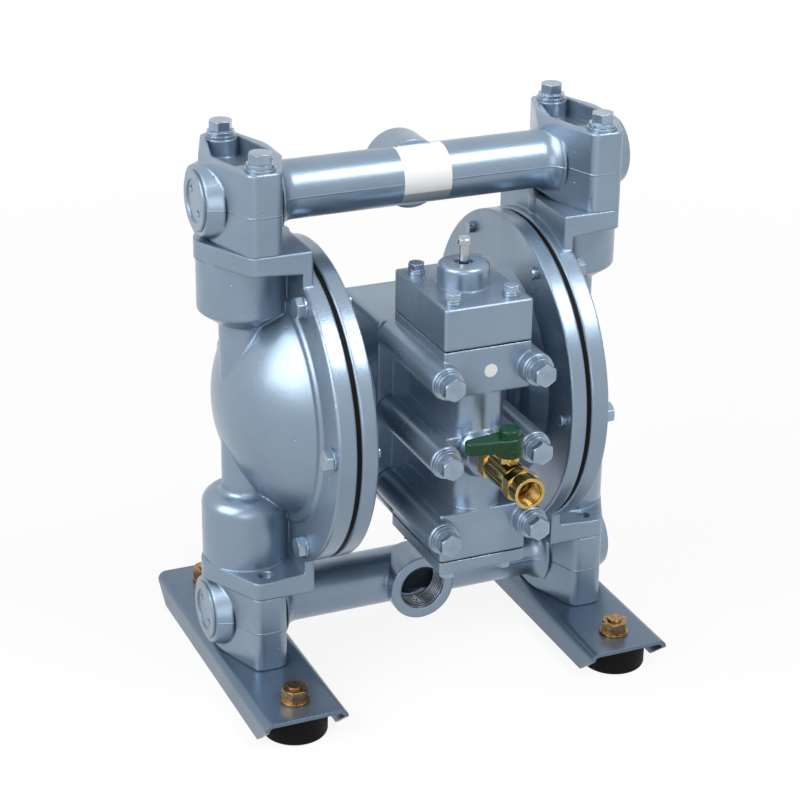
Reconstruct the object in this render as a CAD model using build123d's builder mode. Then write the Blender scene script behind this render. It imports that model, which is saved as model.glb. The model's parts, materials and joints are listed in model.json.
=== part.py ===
"""Air operated double diaphragm pump with 1 inch ports, in millimetres.

Every piece is drawn round the middle of the centre rod, with +Z up, X along the
rod and -Y on the side of the air valve. save() then stands it on the floor.
"""

from math import cos, radians, sin, sqrt

import os

from build123d import *

os.makedirs("parts", exist_ok=True)

# Clearances
running_gap = 0.05
thread_gap = 0.05
thread_end_gap = 1.0
hole_gap = 0.4
loose_gap = 0.3
press_gap = 0.02
fitting_gap = 0.5

# Diaphragms, disks and centre rod
diaphragm_plane = 83.3
diaphragm_thickness = 3.2
diaphragm_inset = 1.5
roll_rim_gap = 3.5
roll_width = 15.0
roll_height = 6.0
disk_rim_gap = 3.2
disk_thickness = 5.0
disk_hub_radius = 19.0
outer_hub_height = 5.0
inner_hub_height = 2.0
rod_radius = 10.0
rod_end_radius = 6.0
rod_tip = 2.0
rod_nut_flats = 19.0
rod_nut_height = 9.0
stroke = 9.0
bush_wall = 3.0
bush_length = 22.0

# Air chambers, the shallow dishes behind the diaphragms
air_flange_thickness = 11.7
air_hub_inset = 8.5
air_floor_thickness = 8.0
air_floor_gap = 0.7
air_dish_gap = 1.5
air_mouth_gap = 9.0
air_shoulder_gap = 7.5
air_shoulder_step = 3.5
air_rim_width = 34.0

# Out chambers, the domed dishes in front of the diaphragms
dome_inset = 35.2
dome_wall = 6.5
flange_radius = 112.0
flange_thickness = 13.1
flange_rim_width = 33.3
flange_bolt_inset = 11.0
flange_bolt_count = 6
flange_edge_fillet = 1.5
step_ring_width = 5.4
step_ring_height = 2.0

# Valve housings and joint plates of the out chambers
housing_radius = 30.8
housing_wall = 6.8
housing_sunk = 6.3
neck_radius = 16.5
neck_fillet = 4.0
housing_fillet = 3.0
port_radius = 13.0
port_start_z = 20.0
joint_gap = 12.5
upper_housing_height = 51.0
housing_cone_height = 10.5
lower_housing_height = 62.5
upper_shelf_depth = 43.5
lower_shelf_depth = 49.5
plate_thickness = 13.0
plate_side_radius = 14.6
plate_ledge = 2.0
plate_bolt_gap = 7.2
corner_reach = 11.6
corner_x = 6.0
corner_radius = 6.5
web_thickness = 6.8
web_sunk = 3.0
tongue_root_thickness = 15.0
rib_thickness = 11.0

# Check valves
seat_thickness = 10.0
seat_bore_radius = 12.0
seat_lip = 2.0
seat_gap = 0.1
check_ball_radius = 15.9
check_ball_gap = 0.45
ring_radius = 1.5

# Manifolds
tube_radius = 19.9
tube_wall = 5.4
tube_above_joint = 26.5
block_above_tube = 29.0
block_side_x = 15.0
block_side_radius = 13.0
block_shoulder_radius = 8.0
block_boss_radius = 10.8
block_rim = 3.6
block_side_rim = 8.6
block_pocket_depth = 12.0
block_edge_fillet = 1.2
flare_radius = 28.0
flare_fillet = 12.0
flare_reach = 32.5
boss_root_reach = 20.0
plug_boss_root_radius = 27.7
port_boss_radius = 24.0
port_face_y = 28.7
port_thread_radius = 16.6
port_thread_depth = 20.0
plug_boss_reach = 31.0
plug_boss_radius = 23.5
plug_head_radius = 20.5
plug_head_height = 1.6
plug_head_chamfer = 0.8
plug_recess_radius = 14.5
plug_recess_depth = 1.0
plug_thread_length = 14.0
spanner_hole_radius = 2.2
spanner_hole_offset = 9.3
spanner_hole_depth = 5.0
spanner_hole_angle = 45.0

# Centre body
body_front = 42.0
body_back = 25.0
body_bolt_margin = 10.0
body_foot_z = 62.0
body_bottom_x = 27.0
body_bottom_z = 84.0
body_hub_inset = 1.0
body_fillet = 4.0
exhaust_boss_radius = 19.0
exhaust_boss_rise = 3.0
exhaust_thread_radius = 13.2
exhaust_depth = 24.0

# Air valve
valve_half_width = 31.0
valve_front = 125.0
valve_top_z = 73.0
valve_bottom_drop = 4.0
valve_upper_step_z = 41.0
valve_lower_step_z = 43.0
valve_core_radius = 18.3
valve_edge_fillet = 2.0
gasket_thickness = 1.0
valve_bolt_x = 32.0
valve_bolt_inset_z = 17.7
valve_boss_radius = 11.0
valve_boss_reach = 8.5
valve_boss_fillet = 1.2
middle_web_height = 18.0
middle_web_inset = 7.0
inlet_boss_radius = 15.0
inlet_boss_reach = 4.0
inlet_boss_height = 7.0
inlet_z = -2.0
inlet_thread_radius = 8.3
inlet_thread_depth = 14.0
top_cap_height = 28.0
bottom_cap_height = 9.0
cap_bolt_inset_x = 10.5
cap_bolt_inset_y = 11.5
sleeve_radius = 14.0
sleeve_port_radius = 3.0
sleeve_port_spacing = 30.0
spool_radius = 10.0
spool_half_length = 56.0
spool_land = 14.0
spool_groove_radius = 7.0
spool_chamfer = 1.0
spool_rest_z = -6.0
cap_bore_radius = 12.0
cap_bore_depth = 16.0
reset_boss_radius = 17.2
reset_boss_height = 15.5
reset_boss_fillet = 3.0
reset_well_radius = 6.2
reset_well_depth = 3.0
reset_stem_radius = 3.4
reset_head_radius = 4.9
reset_head_height = 4.0
reset_head_chamfer = 0.8
reset_rise = 16.5
reset_travel = 5.0
reset_collar_radius = 11.5
reset_collar_height = 2.5
spring_wire_radius = 0.8
spring_radius = 10.9
spring_turns = 3

# Air inlet fittings, in front of the air valve
nipple_flats = 18.0
nipple_flats_length = 6.0
nipple_bore_radius = 4.5
ball_body_flats = 22.0
ball_body_flats_length = 9.0
ball_body_radius = 11.0
ball_body_length = 36.0
ball_cavity_radius = 8.6
ball_seat_thickness = 2.1
inlet_end_length = 18.0
inlet_end_radius = 10.4
inlet_end_flats = 21.0
inlet_end_flats_length = 8.0
inlet_end_bore_radius = 8.33
inlet_end_bore_depth = 14.0
stem_reach = 23.0
valve_ball_radius = 7.6
stem_radius = 3.0
stem_boss_radius = 6.5
stem_boss_height = 13.0
handle_rise = 15.0
handle_skirt_radius = 9.5
handle_skirt_height = 3.5
lever_height = 9.0
lever_length = 31.0
lever_hub_radius = 9.0
lever_tip_radius = 5.0
lever_fillet = 1.5
handle_cap_radius = 7.0
handle_cap_height = 5.0
handle_cap_wall = 1.5
handle_nut_flats = 8.0
handle_nut_height = 3.0

# Feet
channel_width = 60.0
channel_height = 20.0
channel_thickness = 3.0
channel_bend_radius = 6.0
channel_end_reach = 23.9
channel_end_cut = 17.0
foot_y = 92.6
foot_height = 20.0
foot_radius = 22.5
foot_edge_fillet = 2.5
foot_insert_radius = 4.0
foot_insert_depth = 8.0
stud_length = 22.0
stud_sunk = 7.0

# Bolts
m10_radius = 5.0
m10_bolt_flats = 14.0
m10_head = 7.0
m10_nut_flats = 17.0
m10_nut = 8.4
m10_washer_radius = 10.25
m10_washer = 2.0
m10_spring_radius = 9.2
m10_spring = 2.5
m8_radius = 4.0
m8_flats = 13.0
m8_head = 5.3
m8_washer_radius = 8.0
m8_washer = 1.6
m8_end = 4.0
m6_radius = 3.0
m6_flats = 10.0
m6_head = 4.0
m6_washer_radius = 6.0
m6_washer = 1.6
m6_spring_radius = 5.6
m6_spring = 1.6
spring_slit = 1.2
air_screw_inset = 7.0
air_screw_count = 4
air_screw_depth = 14.0
air_screw_head_radius = 5.0
valve_thread_depth = 18.0
cap_thread_depth = 14.0

# Pilot pins
pilot_pin_radius = 4.0
pilot_pin_length = 23.0
pilot_pin_inset = 8.0
pilot_pin_chamfer = 1.0

# Silencer
silencer_radius = 21.0
silencer_length = 52.0
silencer_thread_length = 12.0
silencer_flats = 32.0
silencer_flats_length = 8.0
silencer_groove = 3.0
silencer_groove_depth = 2.5
silencer_groove_count = 5
silencer_fillet = 4.0

# Places worked out from the sizes, first those along the rod
diaphragm_in = diaphragm_plane - diaphragm_thickness / 2
diaphragm_out = diaphragm_plane + diaphragm_thickness / 2
air_flange_back = diaphragm_in - air_flange_thickness
disk_back_x = diaphragm_in - disk_thickness
air_floor_x = disk_back_x - inner_hub_height - stroke - air_floor_gap
air_hub_back = air_floor_x - air_floor_thickness
out_flange_face = diaphragm_out + flange_thickness
step_x = out_flange_face + step_ring_height
dome_centre_x = diaphragm_plane - dome_inset
column_x = out_flange_face + housing_radius - housing_sunk
tongue_end_x = out_flange_face - web_thickness
plug_boss_face_x = column_x + plug_boss_reach

# Radii round the rod
mouth_radius = flange_radius - flange_rim_width
dome_inner_radius = sqrt(mouth_radius**2 + (diaphragm_out - dome_centre_x) ** 2)
dome_radius = dome_inner_radius + dome_wall
dome_edge_radius = sqrt(dome_radius**2 - (step_x - dome_centre_x) ** 2)
step_ring_radius = dome_edge_radius + step_ring_width + step_ring_height
flange_bolt_radius = flange_radius - flange_bolt_inset
roll_outer_radius = mouth_radius - roll_rim_gap
roll_inner_radius = roll_outer_radius - roll_width
disk_radius = roll_inner_radius - disk_rim_gap
air_dish_radius = disk_radius + air_dish_gap
air_mouth_radius = roll_outer_radius + air_mouth_gap
air_hub_radius = air_dish_radius - air_hub_inset
air_shoulder_radius = air_dish_radius + air_shoulder_gap
air_back_radius = flange_radius - air_rim_width
body_hub_radius = body_front - body_hub_inset
air_screw_radius = body_hub_radius - air_screw_inset
exhaust_boss_face = body_hub_radius + exhaust_boss_rise
bush_radius = rod_radius + bush_wall
pilot_pin_z = body_hub_radius - pilot_pin_inset

# Heights of the liquid end, the same above and below
joint_z = flange_radius + joint_gap
manifold_z = joint_z + tube_above_joint
block_end_z = manifold_z + block_above_tube
block_height = block_end_z - joint_z
upper_housing_z = joint_z - upper_housing_height
lower_housing_z = joint_z - lower_housing_height
upper_shelf_z = joint_z - upper_shelf_depth
lower_shelf_z = joint_z - lower_shelf_depth
centre_height = block_end_z + channel_thickness + foot_height
web_under_z = -block_end_z - channel_thickness

# Widths of the liquid end
housing_bore_radius = housing_radius - housing_wall
lower_shoulder_radius = housing_radius - neck_radius - neck_fillet - loose_gap
bolt_pair_y = housing_radius + plate_bolt_gap
plate_side_x = housing_radius + plate_ledge - plate_side_radius
tongue_half_width = bolt_pair_y + corner_reach
web_foot_z = sqrt(flange_radius**2 - tongue_half_width**2) - web_sunk
tube_bore_radius = tube_radius - tube_wall
flare_rise = flare_radius - tube_radius
flare_length = sqrt(flare_fillet**2 - (flare_fillet - flare_rise) ** 2)
channel_half_length = foot_y + channel_end_reach

# Places of the air valve
valve_rear = body_front + gasket_thickness
valve_depth = valve_front - valve_rear
valve_axis_y = (valve_front + valve_rear) / 2
valve_bottom_z = valve_top_z + valve_bottom_drop
valve_bolt_z = valve_top_z - valve_bolt_inset_z
valve_boss_front = valve_front + valve_boss_reach
inlet_boss_front = valve_front + inlet_boss_reach
body_half_width = valve_bolt_x + body_bolt_margin
body_top_z = valve_bolt_z + body_bolt_margin
cap_bolt_x = valve_half_width - cap_bolt_inset_x
cap_bolt_dy = valve_depth / 2 - cap_bolt_inset_y
cap_base_z = valve_top_z + gasket_thickness
cap_top_z = cap_base_z + top_cap_height
reset_boss_top_z = cap_top_z + reset_boss_height
bottom_cap_top_z = -valve_bottom_z - gasket_thickness
nipple_end = inlet_boss_front + fitting_gap + nipple_flats_length + fitting_gap
ball_body_front = nipple_end + ball_body_length
inlet_end_face = ball_body_front + inlet_end_length
stem_y = nipple_end + stem_reach
lever_base_z = inlet_z + handle_rise + handle_skirt_height
lever_top_z = lever_base_z + lever_height

base_up = (Align.CENTER, Align.CENTER, Align.MIN)
left, right = -1, 1
up, down = Vector(0, 0, 1), Vector(0, 0, -1)
front, rear = Vector(0, -1, 0), Vector(0, 1, 0)
outward = Vector(1, 0, 0)


def save(piece, name):
    """Stand a piece on the floor, label it and write its STEP file."""
    standing = Pos(0, 0, centre_height) * piece
    standing.label = name
    export_step(standing, f"parts/{name}.step")


def group(piece, places):
    """Copies of one piece as separate solids."""
    return Compound([place * piece for place in places])


def to_side(piece, side):
    """A piece drawn on the right, or its mirror image on the left."""
    return piece if side == right else mirror(piece, about=Plane.YZ)


def seat_on(x, y, z, direction):
    """A place whose own z axis points along a direction."""
    return Plane(origin=(x, y, z), z_dir=direction).location


def bar(origin, direction, radius, length, mode=Mode.ADD):
    """A round bar in the open part, from its origin along its direction."""
    with Locations(Plane(origin=origin, z_dir=direction)):
        Cylinder(radius, length, align=base_up, mode=mode)


def bore(origin, direction, radius, length):
    """A round hole in the open part, from its origin along its direction."""
    bar(origin, direction, radius, length, Mode.SUBTRACT)


def hex_bar(origin, direction, flats, length):
    """A hexagonal bar in the open part, from its origin along its direction."""
    with BuildSketch(Plane(origin=origin, z_dir=direction)) as hexagon:
        RegularPolygon(flats / 2, 6, major_radius=False)
    extrude(hexagon.sketch, amount=length)


def hex_head(flats, height):
    """A hexagon with its top corners rounded off, standing on z = 0 in the open part."""
    corner = flats / sqrt(3)
    bevel = (corner - flats / 2) / 2
    hex_bar((0, 0, 0), up, flats, height)
    with BuildSketch(Plane.XZ) as crown:
        with BuildLine():
            Polyline(
                (0, 0), (corner, 0), (corner, height - bevel),
                (corner - 2 * bevel, height), (0, height), close=True,
            )
        make_face()
    revolve(crown.sketch, axis=Axis.Z, mode=Mode.INTERSECT)


def hex_bolt(radius, flats, head, length):
    """A hexagon bolt with its head on z = 0 and its shank below."""
    with BuildPart() as bolt:
        hex_head(flats, head)
        bar((0, 0, 0), down, radius, length)
    return bolt.part


def hex_nut(radius, flats, height):
    """A hexagon nut standing on z = 0."""
    with BuildPart() as nut:
        hex_head(flats, height)
        bore((0, 0, 0), up, radius + thread_gap, height)
    return nut.part


def washer(radius, outer_radius, thickness):
    """A plain washer for a bolt, lying on z = 0."""
    with BuildPart() as ring:
        Cylinder(outer_radius, thickness, align=base_up)
        Cylinder(radius + loose_gap, thickness, align=base_up, mode=Mode.SUBTRACT)
    return ring.part


def spring_washer(radius, outer_radius, thickness):
    """A split spring washer for a bolt, lying on z = 0."""
    with BuildPart() as ring:
        Cylinder(outer_radius, thickness, align=base_up)
        Cylinder(radius + loose_gap, thickness, align=base_up, mode=Mode.SUBTRACT)
        Box(
            outer_radius, spring_slit, thickness, align=(Align.MIN, Align.CENTER, Align.MIN),
            mode=Mode.SUBTRACT,
        )
    return ring.part


def tube_ring(origin, direction, radius, inner_radius, length):
    """A plain ring from its origin along its direction."""
    with BuildPart() as ring:
        bar(origin, direction, radius, length)
        bore(origin, direction, inner_radius, length)
    return ring.part


def polar(radius, degrees):
    """The y and z of a point on a circle round the rod."""
    return radius * cos(radians(degrees)), radius * sin(radians(degrees))


def flange_bolt_spots():
    """The y and z of the bolts that clamp a diaphragm's rim."""
    step = 360 / flange_bolt_count
    return [polar(flange_bolt_radius, step * number) for number in range(flange_bolt_count)]


def air_screw_spots():
    """The y and z of the screws that hold an air chamber to the centre body."""
    step = 360 / air_screw_count
    return [polar(air_screw_radius, step * (number + 0.5)) for number in range(air_screw_count)]


def valve_bolt_spots():
    """The x and z of the six bolts that hold the air valve."""
    return [(side * valve_bolt_x, row * valve_bolt_z) for side in (left, right) for row in (-1, 0, 1)]


def cap_bolt_spots():
    """The x and y of the four bolts in each cap of the air valve."""
    return [
        (x * cap_bolt_x, y * cap_bolt_dy - valve_axis_y) for x in (left, right) for y in (-1, 1)
    ]


def manifold_bolt_spots():
    """The x and y of the four bolts of a manifold."""
    return [(x * column_x, y * bolt_pair_y) for x in (left, right) for y in (-1, 1)]


def foot_spots():
    """The x and y of the four rubber feet."""
    return [(x * column_x, y * foot_y) for x in (left, right) for y in (-1, 1)]


def two_bolt_outline(side_x, side_radius, rim=0):
    """The outline of a two-bolt flange, less a rim, in the open sketch."""
    corner_y = bolt_pair_y + corner_reach - corner_radius
    with BuildLine() as rounds:
        for way in (left, right):
            CenterArc((way * side_x, 0), side_radius, 0, 360)
            for end in (left, right):
                CenterArc((way * corner_x, end * corner_y), corner_radius - rim, 0, 360)
    make_hull(rounds.edges())


def build_diaphragm(side):
    """A flat rubber diaphragm with one roll between disk and rim."""
    middle = (roll_inner_radius + roll_outer_radius) / 2
    with BuildPart() as diaphragm:
        with BuildSketch(Plane.XY):
            with BuildLine():
                Line((diaphragm_in, rod_end_radius + loose_gap), (diaphragm_in, roll_inner_radius))
                ThreePointArc(
                    (diaphragm_in, roll_inner_radius),
                    (diaphragm_in + roll_height, middle),
                    (diaphragm_in, roll_outer_radius),
                )
                Polyline(
                    (diaphragm_in, roll_outer_radius),
                    (diaphragm_in, flange_radius - diaphragm_inset),
                    (diaphragm_out, flange_radius - diaphragm_inset),
                    (diaphragm_out, roll_outer_radius),
                )
                ThreePointArc(
                    (diaphragm_out, roll_outer_radius),
                    (diaphragm_out + roll_height, middle),
                    (diaphragm_out, roll_inner_radius),
                )
                Polyline(
                    (diaphragm_out, roll_inner_radius),
                    (diaphragm_out, rod_end_radius + loose_gap),
                    (diaphragm_in, rod_end_radius + loose_gap),
                )
            make_face()
        revolve(axis=Axis.X)
        for y, z in flange_bolt_spots():
            bore((diaphragm_in, y, z), outward, m8_radius + hole_gap, diaphragm_thickness)
    return to_side(diaphragm.part, side)


def build_air_chamber(side):
    """The dish that holds driving air, with a hub that seats on the centre body."""
    shoulder_x = air_hub_back + air_shoulder_step
    head_depth = m6_head + fitting_gap
    with BuildPart() as dish:
        with BuildSketch(Plane.XY):
            with BuildLine():
                Polyline(
                    (air_hub_back, bush_radius),
                    (air_hub_back, air_hub_radius),
                    (shoulder_x, air_hub_radius + air_shoulder_step),
                    (shoulder_x, air_shoulder_radius),
                    (air_flange_back, air_back_radius),
                    (air_flange_back, flange_radius),
                    (diaphragm_in, flange_radius),
                    (diaphragm_in, air_mouth_radius),
                    (air_floor_x, air_dish_radius),
                    (air_floor_x, bush_radius),
                    close=True,
                )
            make_face()
        revolve(axis=Axis.X)
        rim = dish.edges().filter_by(GeomType.CIRCLE).sort_by(SortBy.RADIUS)[-1]
        rims = dish.edges().filter_by(lambda edge: edge.geom_type == GeomType.CIRCLE
                                      and abs(edge.radius - rim.radius) < thread_gap)
        fillet(rims, flange_edge_fillet)
        for y, z in flange_bolt_spots():
            bore((air_flange_back, y, z), outward, m8_radius + thread_gap, air_flange_thickness)
        for y, z in air_screw_spots():
            bore((air_hub_back, y, z), outward, m6_radius + hole_gap, air_floor_thickness)
            bore(
                (air_floor_x - head_depth, y, z), outward,
                air_screw_head_radius + fitting_gap, head_depth,
            )
        bore(
            (air_hub_back, 0, side * pilot_pin_z), outward,
            pilot_pin_radius + running_gap, air_floor_thickness,
        )
    return to_side(dish.part, side)


def dome_point(radius, degrees):
    """A point of the dome's profile, by its angle from the rod."""
    turn = radians(degrees)
    return dome_centre_x + radius * cos(turn), radius * sin(turn)


def build_column():
    """The upright column of an out chamber, from joint plane to joint plane."""
    housing_x = column_x + housing_radius
    neck_x = column_x + neck_radius
    with BuildPart() as column:
        with BuildSketch(Plane.XZ) as outline:
            with BuildLine():
                Polyline((column_x, -joint_z), (column_x, joint_z), (housing_x, joint_z))
                FilletPolyline(
                    (housing_x, joint_z),
                    (housing_x, upper_housing_z),
                    (neck_x, upper_housing_z - housing_cone_height),
                    (neck_x, -lower_housing_z),
                    (housing_x, -lower_housing_z),
                    (housing_x, -joint_z),
                    radius=(housing_fillet, neck_fillet, neck_fillet, lower_shoulder_radius),
                )
                Line((housing_x, -joint_z), (column_x, -joint_z))
            make_face()
        revolve(outline.sketch, axis=Axis((column_x, 0, 0), (0, 0, 1)))
    return column.part


def build_out_chamber(side):
    """The domed liquid chamber with a valve housing above and below."""
    column = Vector(column_x, 0, 0)
    with BuildPart() as chamber:
        with BuildSketch(Plane.XY):
            with BuildLine():
                Polyline(
                    dome_point(dome_radius, 0),
                    (diaphragm_out, 0),
                    (diaphragm_out, flange_radius),
                    (out_flange_face, flange_radius),
                    (out_flange_face, step_ring_radius),
                    (step_x, step_ring_radius - step_ring_height),
                    (step_x, dome_edge_radius),
                )
                ThreePointArc(
                    (step_x, dome_edge_radius), dome_point(dome_radius, 30),
                    dome_point(dome_radius, 0),
                )
            make_face()
        revolve(axis=Axis.X)
        rims = chamber.edges().filter_by(
            lambda edge: edge.geom_type == GeomType.CIRCLE
            and abs(edge.radius - flange_radius) < thread_gap
        )
        fillet(rims, flange_edge_fillet)
        add(build_column())
        for way in (up, down):
            level = way.Z * joint_z
            with BuildSketch(Plane(origin=(column_x, 0, level), z_dir=-way)) as plate:
                two_bolt_outline(plate_side_x, plate_side_radius)
            extrude(plate.sketch, amount=plate_thickness)
            with BuildSketch(Plane.XZ.offset(-tongue_half_width)) as tongue:
                with BuildLine():
                    Polyline(
                        (column_x, level),
                        (tongue_end_x, level),
                        (tongue_end_x, way.Z * web_foot_z),
                        (out_flange_face, way.Z * web_foot_z),
                        (out_flange_face, level - way.Z * tongue_root_thickness),
                        (column_x, level - way.Z * plate_thickness),
                        close=True,
                    )
                make_face()
            extrude(tongue.sketch, amount=2 * tongue_half_width)
            with BuildSketch(Plane.XZ.offset(-rib_thickness / 2)) as rib:
                with BuildLine():
                    Polyline(
                        (tongue_end_x, level),
                        (column_x, level),
                        (column_x, way.Z * lower_housing_z),
                        (tongue_end_x, way.Z * lower_housing_z),
                        close=True,
                    )
                make_face()
            extrude(rib.sketch, amount=rib_thickness)
        with BuildSketch(Plane.XY) as hollow:
            with BuildLine():
                Polyline(
                    (diaphragm_out, mouth_radius), (diaphragm_out, 0),
                    dome_point(dome_inner_radius, 0),
                )
                ThreePointArc(
                    dome_point(dome_inner_radius, 0), dome_point(dome_inner_radius, 30),
                    (diaphragm_out, mouth_radius),
                )
            make_face()
        revolve(hollow.sketch, axis=Axis.X, mode=Mode.SUBTRACT)
        for way, shelf in ((up, upper_shelf_z), (down, lower_shelf_z)):
            bore(column + way * port_start_z, way, port_radius, shelf - port_start_z)
            bore(column + way * shelf, way, housing_bore_radius, joint_z - shelf)
            for sign in (left, right):
                bore(
                    column + way * joint_z + rear * sign * bolt_pair_y, -way,
                    m10_radius + thread_gap, tongue_root_thickness,
                )
        for y, z in flange_bolt_spots():
            bore((diaphragm_out, y, z), outward, m8_radius + hole_gap, flange_thickness)
    return to_side(chamber.part, side)


def build_flare(side):
    """The flare of a cross tube into its block, and the boss of the end plug."""
    with BuildPart() as flare:
        with BuildSketch(Plane.XZ) as outline:
            with BuildLine():
                Line((column_x, manifold_z), (column_x - flare_reach, manifold_z))
                Line(
                    (column_x - flare_reach, manifold_z),
                    (column_x - flare_reach, manifold_z + tube_radius),
                )
                curve = RadiusArc(
                    (column_x - flare_reach, manifold_z + tube_radius),
                    (column_x - flare_reach + flare_length, manifold_z + flare_radius),
                    -flare_fillet,
                )
                Polyline(
                    curve @ 1,
                    (column_x - boss_root_reach, manifold_z + flare_radius),
                    (column_x - boss_root_reach, manifold_z + tube_radius),
                    (column_x + boss_root_reach, manifold_z + tube_radius),
                    (column_x + boss_root_reach, manifold_z + plug_boss_root_radius),
                    (plug_boss_face_x, manifold_z + plug_boss_radius),
                    (plug_boss_face_x, manifold_z),
                    (column_x, manifold_z),
                )
            make_face()
        revolve(outline.sketch, axis=Axis((0, 0, manifold_z), (1, 0, 0)))
    return to_side(flare.part, side)


def build_manifold():
    """The upper manifold: a cross tube, a block over each column and a port at the rear."""
    block_reach = block_side_x + block_side_radius
    with BuildPart() as manifold:
        for side in (left, right):
            with BuildSketch(Plane(origin=(side * column_x, 0, joint_z))) as block:
                two_bolt_outline(block_side_x, block_side_radius)
            extrude(block.sketch, amount=block_height)
        fillet(manifold.edges().group_by(Axis.Z)[-1], block_edge_fillet)
        for side in (left, right):
            with BuildSketch(Plane(origin=(side * column_x, 0, block_end_z))) as pocket:
                two_bolt_outline(block_side_x, block_side_radius - block_side_rim, block_rim)
                Rectangle(2 * block_reach, 2 * bolt_pair_y, mode=Mode.INTERSECT)
                with Locations((0, -bolt_pair_y), (0, bolt_pair_y)):
                    Circle(block_boss_radius, mode=Mode.SUBTRACT)
            extrude(pocket.sketch, amount=-block_pocket_depth, mode=Mode.SUBTRACT)
        with BuildSketch(Plane.XZ.offset(-tongue_half_width)) as shoulders:
            for side in (left, right):
                with Locations((side * column_x, joint_z)):
                    Rectangle(2 * block_reach, block_height, align=(Align.CENTER, Align.MIN))
            fillet(shoulders.vertices().group_by(Axis.Z)[-1], block_shoulder_radius)
        extrude(shoulders.sketch, amount=2 * tongue_half_width, mode=Mode.INTERSECT)
        bar((-column_x, 0, manifold_z), outward, tube_radius, 2 * column_x)
        bar((0, 0, manifold_z), rear, port_boss_radius, port_face_y)
        for side in (left, right):
            add(build_flare(side))
        with Locations((0, 0, joint_z)):
            Box(
                2 * plug_boss_face_x, 2 * tongue_half_width, tube_radius,
                align=(Align.CENTER, Align.CENTER, Align.MAX), mode=Mode.SUBTRACT,
            )
        for side in (left, right):
            way = outward * side
            face = Vector(side * plug_boss_face_x, 0, manifold_z)
            bore(face, -way, tube_bore_radius, plug_boss_face_x)
            bore(face, -way, port_thread_radius, port_thread_depth)
            bore((side * column_x, 0, joint_z), up, tube_bore_radius, manifold_z - joint_z)
        bore((0, 0, manifold_z), rear, tube_bore_radius, port_face_y)
        bore((0, port_face_y, manifold_z), front, port_thread_radius, port_thread_depth)
        for x, y in manifold_bolt_spots():
            bore((x, y, joint_z), up, m10_radius + hole_gap, block_height)
    return manifold.part


def build_end_plug():
    """A threaded end plug with its head on z = 0 and its thread below."""
    with BuildPart() as plug:
        Cylinder(plug_head_radius, plug_head_height, align=base_up)
        chamfer(plug.edges().group_by(Axis.Z)[-1], plug_head_chamfer)
        bore((0, 0, plug_head_height), down, plug_recess_radius, plug_recess_depth)
        bar((0, 0, 0), down, port_thread_radius - thread_gap, plug_thread_length)
        floor = plug_head_height - plug_recess_depth
        for turn in (0, 180):
            x, y = polar(spanner_hole_offset, spanner_hole_angle + turn)
            bore((x, y, floor), down, spanner_hole_radius, spanner_hole_depth)
    return plug.part


def build_centre_body():
    """The centre casting that carries both air chambers and the air valve."""
    half_outline = [
        (body_half_width, body_top_z),
        (body_half_width, -body_foot_z),
        (body_bottom_x, -body_bottom_z),
    ]
    other_half = [(-x, z) for x, z in reversed(half_outline)]
    hub_length = 2 * air_hub_back
    with BuildPart() as body:
        with BuildSketch(Plane.XZ.offset(-body_back)) as outline:
            with BuildLine():
                Polyline(*half_outline, *other_half, close=True)
            make_face()
        extrude(outline.sketch, amount=body_front + body_back)
        fillet(body.edges().filter_by(Axis.Y), body_fillet)
        bar((-air_hub_back, 0, 0), outward, body_hub_radius, hub_length)
        bar((0, 0, 0), rear, exhaust_boss_radius, exhaust_boss_face)
        bore((-air_hub_back, 0, 0), outward, bush_radius, hub_length)
        bore((0, exhaust_boss_face, 0), front, exhaust_thread_radius, exhaust_depth)
        for side in (left, right):
            way = outward * side
            for y, z in air_screw_spots():
                bore((side * air_hub_back, y, z), -way, m6_radius + thread_gap, air_screw_depth)
            bore(
                (side * air_hub_back, 0, side * pilot_pin_z), -way,
                pilot_pin_radius + running_gap, pilot_pin_length,
            )
        for x, z in valve_bolt_spots():
            bore((x, -body_front, z), rear, m10_radius + thread_gap, valve_thread_depth)
    return body.part


def valve_slab(base_z, height, half_width=valve_half_width):
    """A slab over the air valve's plan, in the open part."""
    with Locations((0, -valve_axis_y, base_z)):
        Box(2 * half_width, valve_depth, height, align=base_up)


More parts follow.
